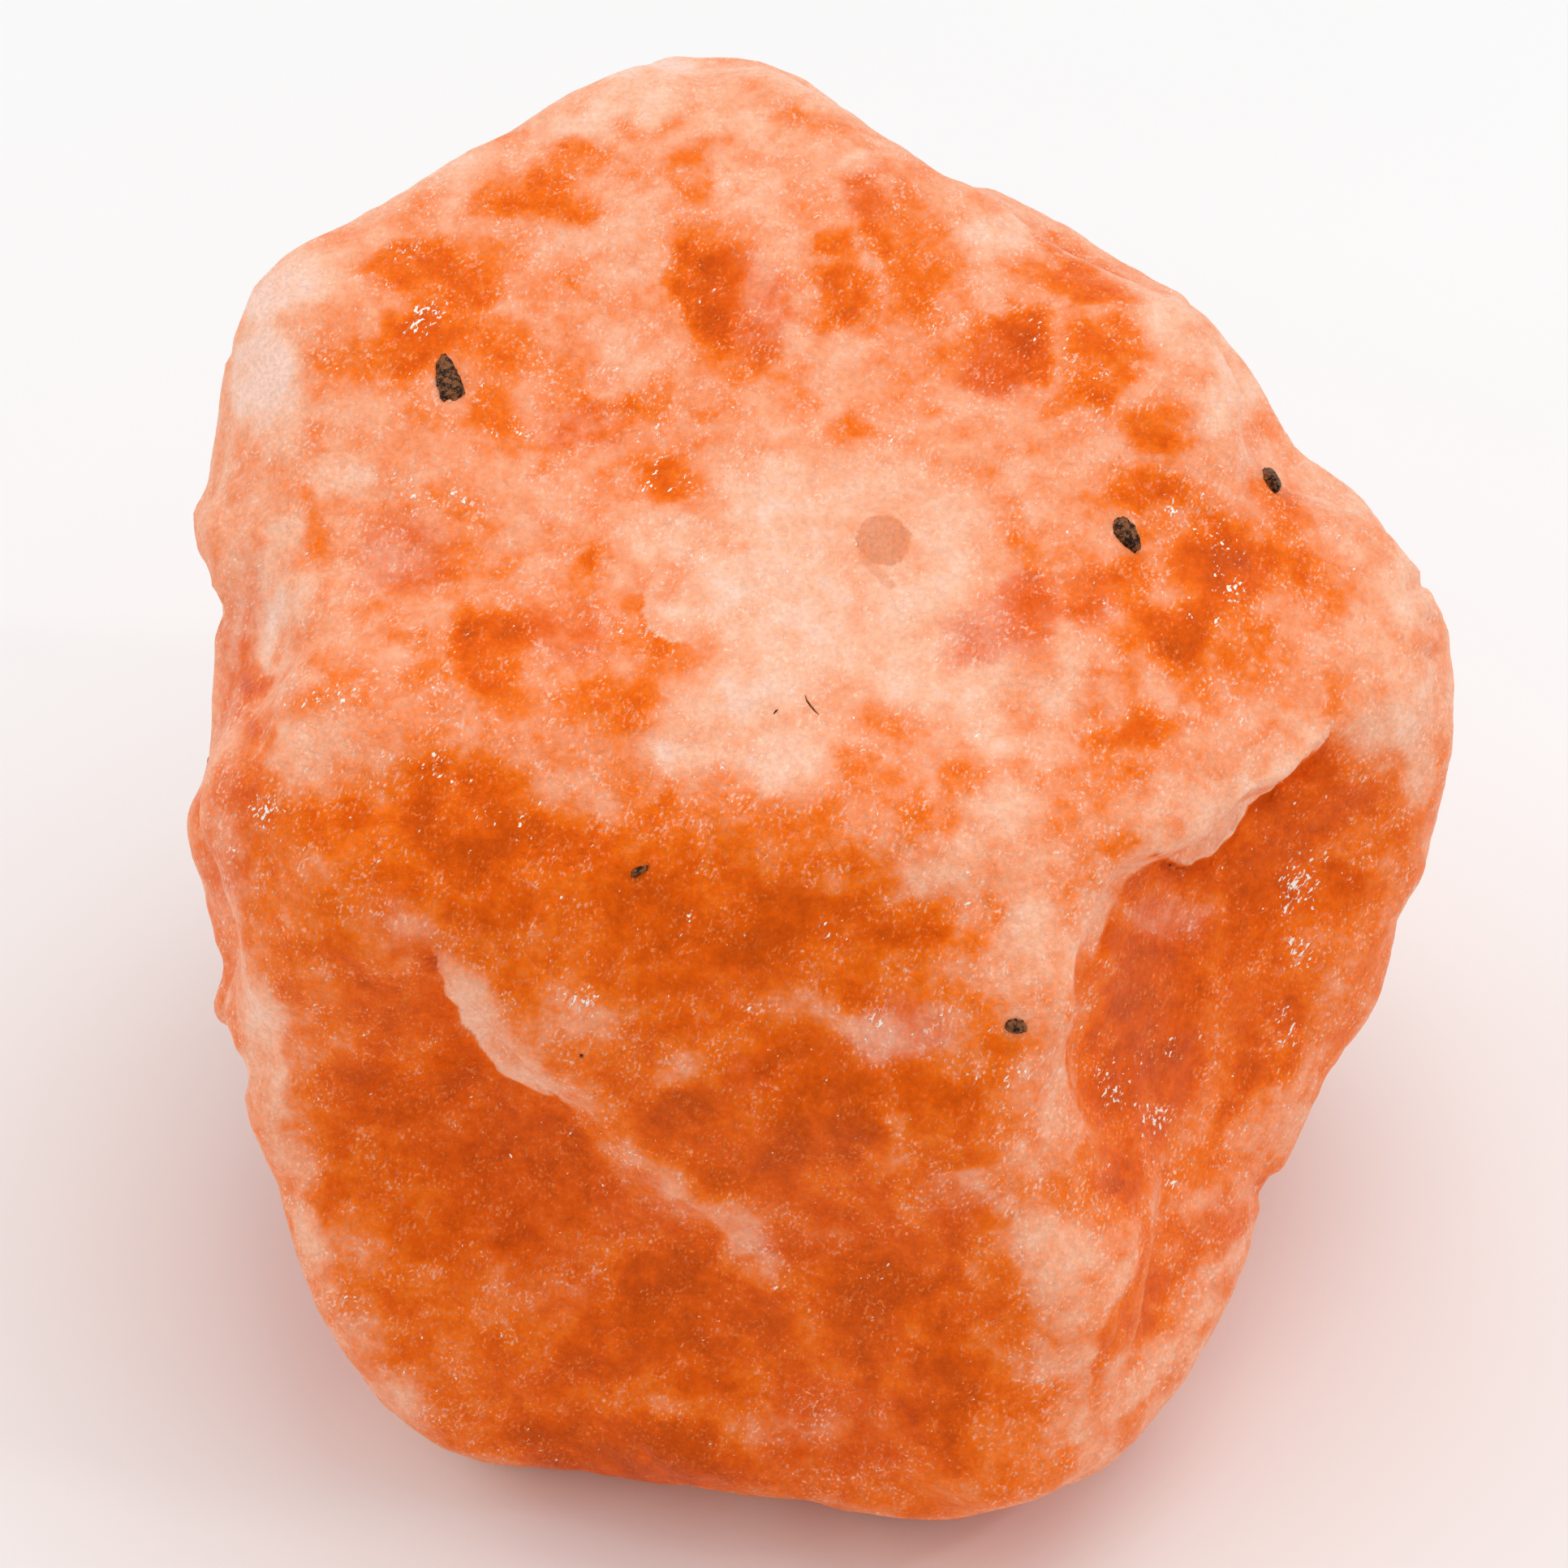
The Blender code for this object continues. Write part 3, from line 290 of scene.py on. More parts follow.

# How deep the stone's colour is, from 0 for the palest to 1 for the darkest, and between which heights, as seen by
# the eye, the lower part's deeper tone gives way to the upper part's. The lower part is deeper partly as painted
# shade, since less light falls on it.
UPPER_TONE = 0.51
LOWER_TONE = 0.73
UPPER_HALF_MM = (-4.5, 3.5)
ELSEWHERE_TONE = 0.6
UPPER_PALE_TONE = 0.2
LOWER_PALE_TONE = 0.44
DEEP_TONE = 0.91
# Above the first of these the tone rises only by this share of the rest.
DEEPEST_TONE = (0.88, 0.35)
# How much paler the stone is: along the outline that the eye sees, painted sheen that stands in for light grazing
# the rim, and on bulging edges, where it's worn. The bulging edges are found by smoothing this many rounds, and are
# worn from the first to the second height above the smooth surface.
PAINTED_RIM_SHEEN = 0.2
WORN_PALER = 0.08
WORN_ROUNDS = 60
WORN_MM = (0.03, 0.16)
# The tone just above and just below a step's edge.
EDGE_TONES = (0.15, 0.93)
# On the hidden sides noise lays the patches: where in it each kind starts and is full, and how strong it is. Glints
# are laid where two noises meet.
HIDDEN_DEEP = (0.05, 0.6, 0.95)
HIDDEN_PALE = (0.1, 0.7, 0.85)
HIDDEN_PINK = (0.1, 0.5, 0.8)
HIDDEN_GLINTS = ((0.25, 0.6), (-0.1, 0.3))

# Dark grains grown into the surface: the corners of each one's outline as seen by the eye.
GRAINS_MM = [
    [
        (-14.47, 16.28), (-14.61, 15.81), (-14.57, 15.07), (-14.35, 14.36), (-14.05, 14.45), (-13.68, 14.51),
        (-13.49, 14.73), (-13.68, 15.22), (-13.95, 15.81), (-14.25, 16.22),
    ],
    [
        (11.05, 10.19), (10.78, 10.08), (10.69, 9.9), (10.72, 9.53), (10.93, 9.24), (11.2, 8.98),
        (11.49, 8.81), (11.71, 8.98), (11.57, 9.46), (11.34, 9.9),
    ],
    [(16.4, 11.97), (16.25, 11.94), (16.29, 11.6), (16.54, 11.3), (16.74, 11.05), (16.87, 11.11), (16.66, 11.75)],
    [
        (6.94, -8.54), (6.74, -8.62), (6.62, -8.9), (6.77, -9.05), (7.06, -9.1), (7.47, -9.05), (7.47, -8.87),
        (7.28, -8.6),
    ],
    [(-6.67, -2.83), (-7.04, -2.89), (-7.26, -3.04), (-7.3, -3.26), (-7.18, -3.31), (-6.96, -3.19), (-6.71, -3.04)],
    [(-9.1, -9.88), (-9.22, -9.88), (-9.22, -10.0), (-9.1, -10.0)],
]
# Grains of the same kind on the sides that the eye doesn't see: the direction from the stone's middle as azimuth
# and elevation in degrees, half width and half height.
OTHER_GRAINS_MM = [
    (150, 35, 0.55, 0.8), (205, 8, 0.4, 0.6), (140, -6, 0.35, 0.5), (-128, 24, 0.5, 0.7), (-110, -12, 0.3, 0.45),
    (175, -20, 0.3, 0.3),
]
OTHER_CORNERS = (10, 60, 95, 140, 200, 235, 290, 330)
# How thick a grain is each way, how its side curves, how uneven its outline is, and its crumbs by number in a
# millimetre and by height. Grains smaller than the last number are thinner in proportion.
GRAIN_DEPTH_MM = 0.32
GRAIN_CURVE = 0.6
GRAIN_UNEVEN = 0.16
CRUMBS_MM = [(4.5, 0.1), (10, 0.05)]
SMALL_GRAIN_MM = 0.4
# Fine dark hairs in the surface: paths as seen by the eye, thickness, sides, and how thin they are at their ends.
HAIRS_MM = [
    [(-0.81, 3.51), (-0.74, 3.3), (-0.62, 3.13), (-0.45, 2.93), (-0.31, 2.8)],
    [(-1.99, 2.81), (-1.9, 2.92), (-1.83, 2.98)],
]
HAIR_THICKNESS_MM = 0.075
HAIR_SIDES = 8
HAIR_ENDS = 0.45

# Streaks and glints: the way they run, in degrees from the eye's right, and how much longer than wide they are.
STREAK_STRETCH = (62, 2.6)
GLINT_STRETCH = (55, 1.9)
SPECK_STRETCH = (70, 1.3)

# A round tan spot with a short rod below it: the spot's place and radius, and the rod's ends and half width.
SPOT_MM = (2.1, 9.3, 0.98)
ROD_MM = ((1.45, 8.65), (2.35, 7.65), 0.2)

# The fine patterns of the stone: how many there are in a millimetre, detail, roughness and distortion.
CLOUD = (0.6, 3.0, 0.5, 0.3)
CLUSTER = (0.9, 3.0, 0.65)
GRAIN = (2.2, 3.0, 0.6, 0.4)
FLECK = (5.5, 2.0, 0.6)
STREAK = (4.5, 2.0, 0.6, 0.3)
SPECK = (8.0, 1.0, 0.5)
WET = (7.0, 1.5, 0.6, 0.4)
# How much the cloud, grain, fleck and streak change the tone.
TONE_CHANGES = (0.65, 0.37, 0.17, 0.1)

# Lamps: name, place, size and power. They point at the stone.
LAMPS = [
    ("soft_top", (0.1, 0.03, 0.42), 0.35, 0.54),
    ("soft_left", (-0.4, 0.12, 0.22), 0.3, 0.3),
    ("glint_right", (0.3, -0.1, 0.3), 0.03, 0.12),
]
LAMP_TARGET = (0, 0, 0.02)
SURROUNDINGS = 0.73
FLOOR_SHADES = (0.90, 0.92)
SENSOR_MM = 36


def main():
    stone = make_stone()
    paint(stone)
    stone.data.materials.clear()
    stone.data.materials.append(stone_material(surface_under(stone)))
    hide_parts("raw_sunstone")
    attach(stone, "root")
    make_grains(surface_under(stone))
    make_hairs(surface_under(stone))
    make_studio()
    make_camera()


def axes():
    """Right, up and near as seen by the eye."""
    e = math.radians(EYE_ELEVATION)
    return np.array([(1, 0, 0), (0, math.sin(e), math.cos(e)), (0, -math.cos(e), math.sin(e))])


def seen_from_eye(points):
    """Places in the frame, in millimetres, as right, up and near."""
    flat = (points - np.array(MIDDLE_MM)) @ axes().T
    aim = np.array(AIM_MM)
    seen = flat.copy()
    seen[:, :2] = aim + (flat[:, :2] - aim) / (1 - flat[:, 2:] / EYE_DISTANCE_MM)
    return seen


def ramp(values, start, end):
    """0 before start, 1 after end, and smooth between them."""
    t = np.clip((values - start) / (end - start), 0, 1)
    return t * t * (3 - 2 * t)


def rough(points, spacing, shift=0):
    """Smooth noise between about -1 and 1 at each place."""
    return np.array([noise.noise(Vector(p)) for p in points / spacing + shift])


def warped(seen, points, moves):
    """Seen places, moved about by noise."""
    moved = seen.copy()
    for spacing, amount, shift_right, shift_up in moves:
        moved[:, 0] += rough(points, spacing, shift_right) * amount
        moved[:, 1] += rough(points, spacing, shift_up) * amount
    return moved


def drawn_out(points):
    """Places to take noise at: right, up and near, drawn out along the line of sight."""
    return points @ axes().T / (1, 1, ALONG_SIGHT)


def make_stone():
    """A fine surface over the frame's stone."""
    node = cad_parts["raw_sunstone"]
    mesh = node.data.copy()
    weld(mesh)
    stone = bpy.data.objects.new("sunstone_surface", mesh)
    bpy.context.scene.collection.objects.link(stone)
    rounding = stone.modifiers.new("rounding", "SUBSURF")
    rounding.levels = 1
    rounding.render_levels = 1
    remesh = stone.modifiers.new("fine", "REMESH")
    remesh.mode = "VOXEL"
    remesh.voxel_size = POINT_SPACING_MM * MM
    smooth = stone.modifiers.new("smooth", "SMOOTH")
    smooth.factor = 0.5
    smooth.iterations = SMOOTHING_ROUNDS
    bake(stone)
    split_near_steps(stone.data)
    add_relief(stone.data)
    return stone


def weld(mesh):
    """Joins the points that faces with sharp edges hold apart."""
    bm = bmesh.new()
    bm.from_mesh(mesh)
    bmesh.ops.remove_doubles(bm, verts=bm.verts, dist=0.001 * MM)
    bm.to_mesh(mesh)
    bm.free()


def bake(stone):
    """Applies the modifiers."""
    graph = bpy.context.evaluated_depsgraph_get()
    mesh = bpy.data.meshes.new_from_object(stone.evaluated_get(graph))
    stone.modifiers.clear()
    stone.data = mesh
    mesh.shade_smooth()


def places(mesh):
    """The mesh's points in millimetres, and their normals."""
    points = np.zeros(len(mesh.vertices) * 3, np.float32)
    mesh.vertices.foreach_get("co", points)
    normals = np.zeros(len(mesh.vertices) * 3, np.float32)
    mesh.vertex_normals.foreach_get("vector", normals)
    return points.reshape(-1, 3).astype(float) / MM, normals.reshape(-1, 3).astype(float)


def in_sight(normals):
    """1 where the surface faces the eye and 0 where it faces away."""
    return ramp(normals @ axes()[2], *IN_SIGHT)


def steps(points, normals):
    """Each step's side and share at each place, with a ragged edge, and the step's numbers."""
    seen = warped(seen_from_eye(points)[:, :2], points, RAGGED_MM)
    visible = in_sight(normals)
    for path, *numbers in STEPS_MM:
        side, crispness = beside(seen, path)
        yield side, crispness * visible, numbers


def split_near_steps(mesh):
    """Gives the surface more points along the steps."""
    points, normals = places(mesh)
    near = np.zeros(len(points), bool)
    for side, share, _ in steps(points, normals):
        near |= (np.abs(side) < STEP_BAND_MM) & (share > SPLIT_SHARE)
    bm = bmesh.new()
    bm.from_mesh(mesh)
    bm.verts.ensure_lookup_table()
    edges = [edge for edge in bm.edges if near[edge.verts[0].index] and near[edge.verts[1].index]]
    bmesh.ops.subdivide_edges(bm, edges=edges, cuts=STEP_CUTS, use_grid_fill=True)
    bm.to_mesh(mesh)
    bm.free()
    mesh.shade_smooth()


def add_relief(mesh):
    """Small relief and crisp broken steps, away from the face that the stone lies on."""
    points, normals = places(mesh)
    lift = np.zeros(len(points))
    for spacing, height in RELIEF_MM:
        lift += height * rough(points, spacing)
    stand = np.zeros(len(points))
    edges = np.zeros(len(points))
    before, half_width, rim_share = RAISED_RIM
    for side, share, (taken, width, height, reach, contrast) in steps(points, normals):
        crisp = ramp(side, -CRISP_MM, CRISP_MM)
        soft = ramp(side, -width / 2, width / 2)
        fall = crisp * fading(side, reach)
        rim = np.exp(-((side + before) / half_width) ** 2)
        stand += ((soft - crisp) * taken + (rim * rim_share - fall) * height) * share
        change = SOFT_CHANGE_MM + (CRISP_CHANGE_MM - SOFT_CHANGE_MM) * np.clip(share, 0, 1)
        below = ramp(side, -change, change) * fading(side, BELOW_FADES_MM)
        above = ramp(-side, -change, change) * fading(-side, ABOVE_FADES_MM)
        edges += (below - above) * contrast * share
    seen = seen_from_eye(points)[:, :2]
    for *patch, height in RIM_MM:
        lift += patches(seen, [(*patch, 1.0)]) * height * ramp(normals @ axes()[2], *BUMP_TURN)
    kept = 1 - ramp(points[:, 2], 0, FLAT_BELOW_MM)
    kept *= ramp(-normals[:, 2], *FACING_DOWN)
    points += (normals * lift[:, None] + axes()[2] * stand[:, None]) * (1 - kept)[:, None]
    points[:, 2] = np.maximum(points[:, 2], 0)
    mesh.vertices.foreach_set("co", (points * MM).astype(np.float32).ravel())
    mesh.update()
    write(mesh, "edges", edges)


def fading(distance, reach):
    """1 up to an edge, fading out over the reach past it."""
    return np.exp(-(np.maximum(distance, 0) / reach) ** 2)


def beside(seen, path):
    """How far each place is to the right-hand side of a path, and how crisp the step is beside it, 0 past its ends."""
    corners = np.array(path, float)
    nearest = np.full(len(seen), np.inf)
    side = np.zeros(len(seen))
    crispness = np.zeros(len(seen))
    last = len(corners) - 2
    for i, (start, end) in enumerate(zip(corners, corners[1:])):
        length = np.linalg.norm(end[:2] - start[:2])
        ahead = (end[:2] - start[:2]) / length
        offset = seen - start[:2]
        level = offset @ ahead
        held = np.clip(level, 0, length)
        away = np.linalg.norm(offset - held[:, None] * ahead, axis=1)
        right_hand = np.sign(offset @ (ahead[1], -ahead[0]))
        beyond = np.zeros(len(seen))
        if i == 0:
            beyond = np.maximum(-level, beyond)
        if i == last:
            beyond = np.maximum(level - length, beyond)
        here = (start[2] + (end[2] - start[2]) * held / length) * (1 - ramp(beyond, 0, STEP_END_MM))
        closer = away < nearest
        side = np.where(closer, right_hand * away, side)
        crispness = np.where(closer, here, crispness)
        nearest = np.minimum(nearest, away)
    return side, crispness


def patches(seen, listed):
    """How strongly the listed patches cover each place, from 0 to 1."""
    bare = np.ones(len(seen))
    for right, up, half_width, half_height, turn, strength in listed:
        c, s = math.cos(math.radians(turn)), math.sin(math.radians(turn))
        across = seen[:, 0] - right
        above = seen[:, 1] - up
        along = (across * c + above * s) / half_width
        over = (above * c - across * s) / half_height
        bare *= 1 - strength * (1 - ramp(np.hypot(along, over), *PATCH_EDGE))
    return 1 - bare


def paint(stone):
    """Writes the broad colour zones on the surface as numbers from 0 to 1."""
    points, normals = places(stone.data)
    eye = seen_from_eye(points)[:, :2]
    drawn = drawn_out(points)
    seen = warped(eye, drawn, WARPED_MM)
    front = in_sight(normals)
    broad = rough(drawn, 5.5, 71) + 0.6 * rough(drawn, 2.6, 81)
    other = rough(drawn, 5.0, 91) + 0.5 * rough(drawn, 2.3, 101)
    deep = blend(front, patches(seen, DEEP_MM), laid(broad, *HIDDEN_DEEP))
    pale = blend(front, patches(seen, PALE_MM), laid(-broad, *HIDDEN_PALE))
    upper = ramp(eye[:, 1], *UPPER_HALF_MM)
    base = blend(front, LOWER_TONE + (UPPER_TONE - LOWER_TONE) * upper, ELSEWHERE_TONE)
    tone = base + (LOWER_PALE_TONE + (UPPER_PALE_TONE - LOWER_PALE_TONE) * upper - base) * pale
    tone += (DEEP_TONE - tone) * deep
    for *patch, amount in SHADES_MM:
        tone += patches(seen, [(*patch, 1.0)]) * amount * front
    # Painted sheen: paler along the outline that the eye sees, for light that grazes the rim; paler on bulging edges,
    # where worn.
    outline = ramp(normals @ axes()[2], *RIM_TURN) * front
    tone -= PAINTED_RIM_SHEEN * outline + WORN_PALER * ramp(bulge(stone.data, points, normals), *WORN_MM)
    edges = np.zeros(len(points), np.float32)
    stone.data.attributes["edges"].data.foreach_get("value", edges)
    tone += np.where(edges > 0, EDGE_TONES[1] - tone, tone - EDGE_TONES[0]) * np.clip(edges, -1, 1)
    limit, share = DEEPEST_TONE
    tone -= np.maximum(tone - limit, 0) * (1 - share)
    write(stone.data, "tone", tone)
    write(stone.data, "pink", blend(front, patches(seen, PINK_MM), laid(other, *HIDDEN_PINK)))
    sparkling = ramp(-other, *HIDDEN_GLINTS[0]) * ramp(broad, *HIDDEN_GLINTS[1])
    write(stone.data, "glint", blend(front, patches(eye, GLINT_MM), sparkling))


def bulge(mesh, points, normals):
    """How far each place stands out from the surface smoothed over a few millimetres."""
    ends = np.zeros(len(mesh.edges) * 2, np.int32)
    mesh.edges.foreach_get("vertices", ends)
    first, second = ends.reshape(-1, 2).T
    count = np.bincount(ends, minlength=len(points))[:, None]
    smooth = points.copy()
    for _ in range(WORN_ROUNDS):
        total = np.zeros_like(points)
        for axis in range(3):
            total[:, axis] = np.bincount(first, smooth[second, axis], len(points))
            total[:, axis] += np.bincount(second, smooth[first, axis], len(points))
        smooth = total / count
    return np.einsum("ij,ij->i", points - smooth, normals)


def laid(values, start, full, strength):
    """Patches where noise is high."""
    return ramp(values, start, full) * strength


def blend(front, seen, elsewhere):
    """What the eye sees, giving way to what the hidden sides have."""
    return seen * front + elsewhere * (1 - front)


def write(mesh, name, values):
    """Keeps one number for each point of the mesh."""
    layer = mesh.attributes.new(name, "FLOAT", "POINT")
    layer.data.foreach_set("value", values.astype(np.float32))


def surface_under(stone):
    """A search tree of the stone's faces."""
    bm = bmesh.new()
    bm.from_mesh(stone.data)
    tree = BVHTree.FromBMesh(bm)
    bm.free()
    return tree


def touch(tree, right, up):
    """Where the eye sees the surface at that place, in millimetres, and the surface's normal there."""
    right_axis, up_axis, near_axis = axes()
    aim = np.array(MIDDLE_MM) + right_axis * AIM_MM[0] + up_axis * AIM_MM[1]
    eye = aim + near_axis * EYE_DISTANCE_MM
    through = np.array(MIDDLE_MM) + right_axis * right + up_axis * up
    place, normal, _, _ = tree.ray_cast(Vector(eye * MM), Vector(through - eye).normalized())
    return np.array(place) / MM, np.array(normal)


def touch_from_middle(tree, azimuth, elevation):
    """Where a line from the stone's middle comes out, in millimetres, and the surface's normal there."""
    a, e = math.radians(azimuth), math.radians(elevation)
    outward = Vector((math.sin(a) * math.cos(e), -math.cos(a) * math.cos(e), math.sin(e)))
    place, normal, _, _ = tree.ray_cast(Vector(MIDDLE_MM) * MM, outward)
    return np.array(place) / MM, np.array(normal)


def make_grains(tree):
    """Dark grains of another mineral, set into the surface, as one piece."""
    bm = bmesh.new()
    for outline in GRAINS_MM:
        corners = np.array(outline)
        middle = corners.mean(0)
        place, normal = touch(tree, *middle)
        shrink = 1 - ((place - np.array(MIDDLE_MM)) @ axes()[2]) / EYE_DISTANCE_MM
        right, up, near = axes()
        lean_right = (right - near * (right @ normal) / (near @ normal)) * shrink
        lean_up = (up - near * (up @ normal) / (near @ normal)) * shrink
        add_grain(bm, corners - middle, place, normal, lean_right, lean_up)
    for azimuth, elevation, half_width, half_height in OTHER_GRAINS_MM:
        place, normal = touch_from_middle(tree, azimuth, elevation)
        side = np.cross(normal, (0.3, 0.1, 0.95))
        side /= np.linalg.norm(side)
        angles = np.radians(OTHER_CORNERS)
        spread = 1 + 0.25 * np.sin(angles * 3 + azimuth)
        corners = np.column_stack([np.cos(angles) * half_width, np.sin(angles) * half_height]) * spread[:, None]
        add_grain(bm, corners, place, normal, side, np.cross(normal, side))
    add_piece("dark_grains", bm, grain_material())


def add_grain(bm, corners, place, normal, across, above):
    """One crumbly grain with that outline, half sunk into the surface."""
    ball = bmesh.ops.create_icosphere(bm, subdivisions=4, radius=1)["verts"]
    thinner = min(1, np.linalg.norm(corners, axis=1).mean() / SMALL_GRAIN_MM)
    for vert in ball:
        x, y, z = vert.co
        angle = math.atan2(y, x)
        edge = radius_at(corners, angle) * math.hypot(x, y) ** GRAIN_CURVE
        edge *= 1 + GRAIN_UNEVEN * noise.noise(Vector(place) + vert.co * 4)
        at = place + across * math.cos(angle) * edge + above * math.sin(angle) * edge
        at += normal * z * GRAIN_DEPTH_MM * thinner
        crumble = sum(noise.noise(Vector(at) * count) * height for count, height in CRUMBS_MM)
        vert.co = (at + normal * crumble * thinner) * MM


def radius_at(corners, angle):
    """How far an outline reaches from its middle at an angle."""
    direction = np.array((math.cos(angle), math.sin(angle)))
    best = 0.0
    for start, end in zip(corners, np.roll(corners, -1, axis=0)):
        along = end - start
        cross = direction[0] * along[1] - direction[1] * along[0]
        if abs(cross) < 1e-12:
            continue
        reach = (start[0] * along[1] - start[1] * along[0]) / cross
        share = (start[0] * direction[1] - start[1] * direction[0]) / cross
        if reach > 0 and -1e-6 <= share <= 1 + 1e-6:
            best = max(best, reach)
    return best


def make_hairs(tree):
    """Fine dark hairs that lie half sunk along the surface, as one piece."""
    bm = bmesh.new()
    half = HAIR_THICKNESS_MM / 2
    for path in HAIRS_MM:
        rings = []
        for i, (right, up) in enumerate(path):
            place, normal = touch(tree, right, up)
            ahead = np.array(path[min(i + 1, len(path) - 1)]) - np.array(path[max(i - 1, 0)])
            forward = axes()[0] * ahead[0] + axes()[1] * ahead[1]
            side = np.cross(forward, normal)
            side /= np.linalg.norm(side)
            thin = HAIR_ENDS if i in (0, len(path) - 1) else 1.0
            ring = []
            for angle in np.linspace(0, 2 * math.pi, HAIR_SIDES, endpoint=False):
                at = place + (side * math.cos(angle) + normal * math.sin(angle)) * half * thin
                ring.append(bm.verts.new(at * MM))
            rings.append(ring)
        for first, second in zip(rings, rings[1:]):
            for i in range(HAIR_SIDES):
                after = (i + 1) % HAIR_SIDES
                bm.faces.new((first[i], first[after], second[after], second[i]))
        bm.faces.new(rings[0][::-1])
        bm.faces.new(rings[-1])
    bmesh.ops.recalc_face_normals(bm, faces=bm.faces)
    add_piece("dark_hairs", bm, grain_material())


def add_piece(name, bm, material):
    """A piece of the stone that moves with it."""
    mesh = bpy.data.meshes.new(name)
    bm.to_mesh(mesh)
    bm.free()
    mesh.shade_smooth()
    mesh.materials.append(material)
    piece = bpy.data.objects.new(name, mesh)
    bpy.context.scene.collection.objects.link(piece)
    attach(piece, "root")


class Nodes:
    """Short calls for a material's nodes."""

    def __init__(self, name):
        self.material = bpy.data.materials.new(name)
        self.material.use_nodes = True
        self.tree = self.material.node_tree
        self.surface = self.tree.nodes["Principled BSDF"]

    def fill(self, socket, value):
        if isinstance(value, bpy.types.NodeSocket):
            self.tree.links.new(value, socket)
        else:
            socket.default_value = value

    def add(self, kind, inputs, output=0, **settings):
        node = self.tree.nodes.new(kind)
        for key, value in settings.items():
            setattr(node, key, value)
        for key, value in inputs.items():
            self.fill(node.inputs[key], value)
        return node.outputs[output]

    def math(self, operation, a, b=0.0, c=0.0):
        return self.add("ShaderNodeMath", {0: a, 1: b, 2: c}, operation=operation)

    def map(self, value, start, end, low=0.0, high=1.0):
        inputs = {"Value": value, "From Min": start, "From Max": end, "To Min": low, "To Max": high}
        return self.add("ShaderNodeMapRange", inputs, interpolation_type="SMOOTHSTEP")

    def noise(self, place, scale, detail=2.0, roughness=0.5, distortion=0.0):
        inputs = {"Vector": place, "Scale": scale, "Detail": detail, "Roughness": roughness, "Distortion": distortion}
        return self.add("ShaderNodeTexNoise", inputs)

    def mix(self, amount, a, b):
        node = self.tree.nodes.new("ShaderNodeMix")
        node.data_type = "RGBA"
        self.fill(node.inputs[0], amount)
        self.fill(node.inputs[6], a)
        self.fill(node.inputs[7], b)
        return node.outputs[2]

    def ramp(self, value, stops):
        node = self.tree.nodes.new("ShaderNodeValToRGB")
        self.fill(node.inputs[0], value)
        points = node.color_ramp.elements
        while len(points) < len(stops):
            points.new(0.5)
        for point, (position, shade) in zip(points, stops):
            point.position = position
            point.color = shade
        return node.outputs[0]

    def layer(self, name):
        return self.add("ShaderNodeAttribute", {}, output=2, attribute_name=name)

    def drawn_out(self, place):
        """Right, up and near, drawn out along the line of sight."""
        turned = Matrix(axes().T.tolist()).to_euler()
        inputs = {"Vector": place, "Scale": (1, 1, ALONG_SIGHT), "Rotation": tuple(turned)}
        return self.add("ShaderNodeMapping", inputs, vector_type="TEXTURE")

    def stretch(self, place, lean_and_length):
        """Draws the texture out along a lean in degrees from the eye's right."""
        lean, length = lean_and_length
        inputs = {"Vector": place, "Scale": (length, 1, 1), "Rotation": (0, 0, math.radians(lean))}
        return self.add("ShaderNodeMapping", inputs, vector_type="TEXTURE")

    def millimetres(self):
        """Places in the object, in millimetres."""
        place = self.add("ShaderNodeTexCoord", {}, output=3)
        return self.add("ShaderNodeVectorMath", {0: place, 3: 1 / MM}, operation="SCALE")

    def dress(self, shade, roughness, shine, height, strength, bump_mm):
        """Gives the surface its colour, roughness, shine and fine bumps."""
        self.fill(self.surface.inputs["Base Color"], shade)
        self.fill(self.surface.inputs["Roughness"], roughness)
        self.surface.inputs["Specular IOR Level"].default_value = shine
        bump = self.add("ShaderNodeBump", {"Strength": strength, "Distance": bump_mm * MM, "Height": height})
        self.fill(self.surface.inputs["Normal"], bump)

    def dim(self, shade, amount):
        """The colour made lighter or darker by a factor."""
        return self.add("ShaderNodeVectorMath", {0: shade, 3: amount}, operation="SCALE")


def colour(red, green, blue):
    """A colour given as it looks on a screen, as light amounts."""
    return tuple(((v / 255 + 0.055) / 1.055) ** 2.4 if v > 10 else v / 255 / 12.92 for v in (red, green, blue)) + (1,)


# The stone's colours from pale to darkest: place in the range from 0 to 1, and colour. The pinker range has
# the same form.
TONES = [
    (0.0, colour(255, 210, 190)), (0.22, colour(254, 188, 154)), (0.4, colour(252, 164, 122)),
    (0.52, colour(250, 143, 92)), (0.6, colour(248, 126, 54)), (0.7, colour(245, 111, 12)),
    (0.84, colour(232, 92, 0)), (1.0, colour(206, 78, 0)),
]
PINK_TONES = [
    (0.0, colour(252, 206, 192)), (0.22, colour(247, 180, 154)), (0.4, colour(243, 153, 120)),
    (0.52, colour(240, 131, 91)), (0.6, colour(237, 114, 64)), (0.7, colour(233, 100, 34)),
    (0.84, colour(228, 88, 8)), (1.0, colour(204, 73, 0)),
]
FROST = colour(255, 222, 202)
EMBER = colour(252, 146, 76)
SPARK = colour(255, 244, 232)
TAN = colour(222, 128, 84)


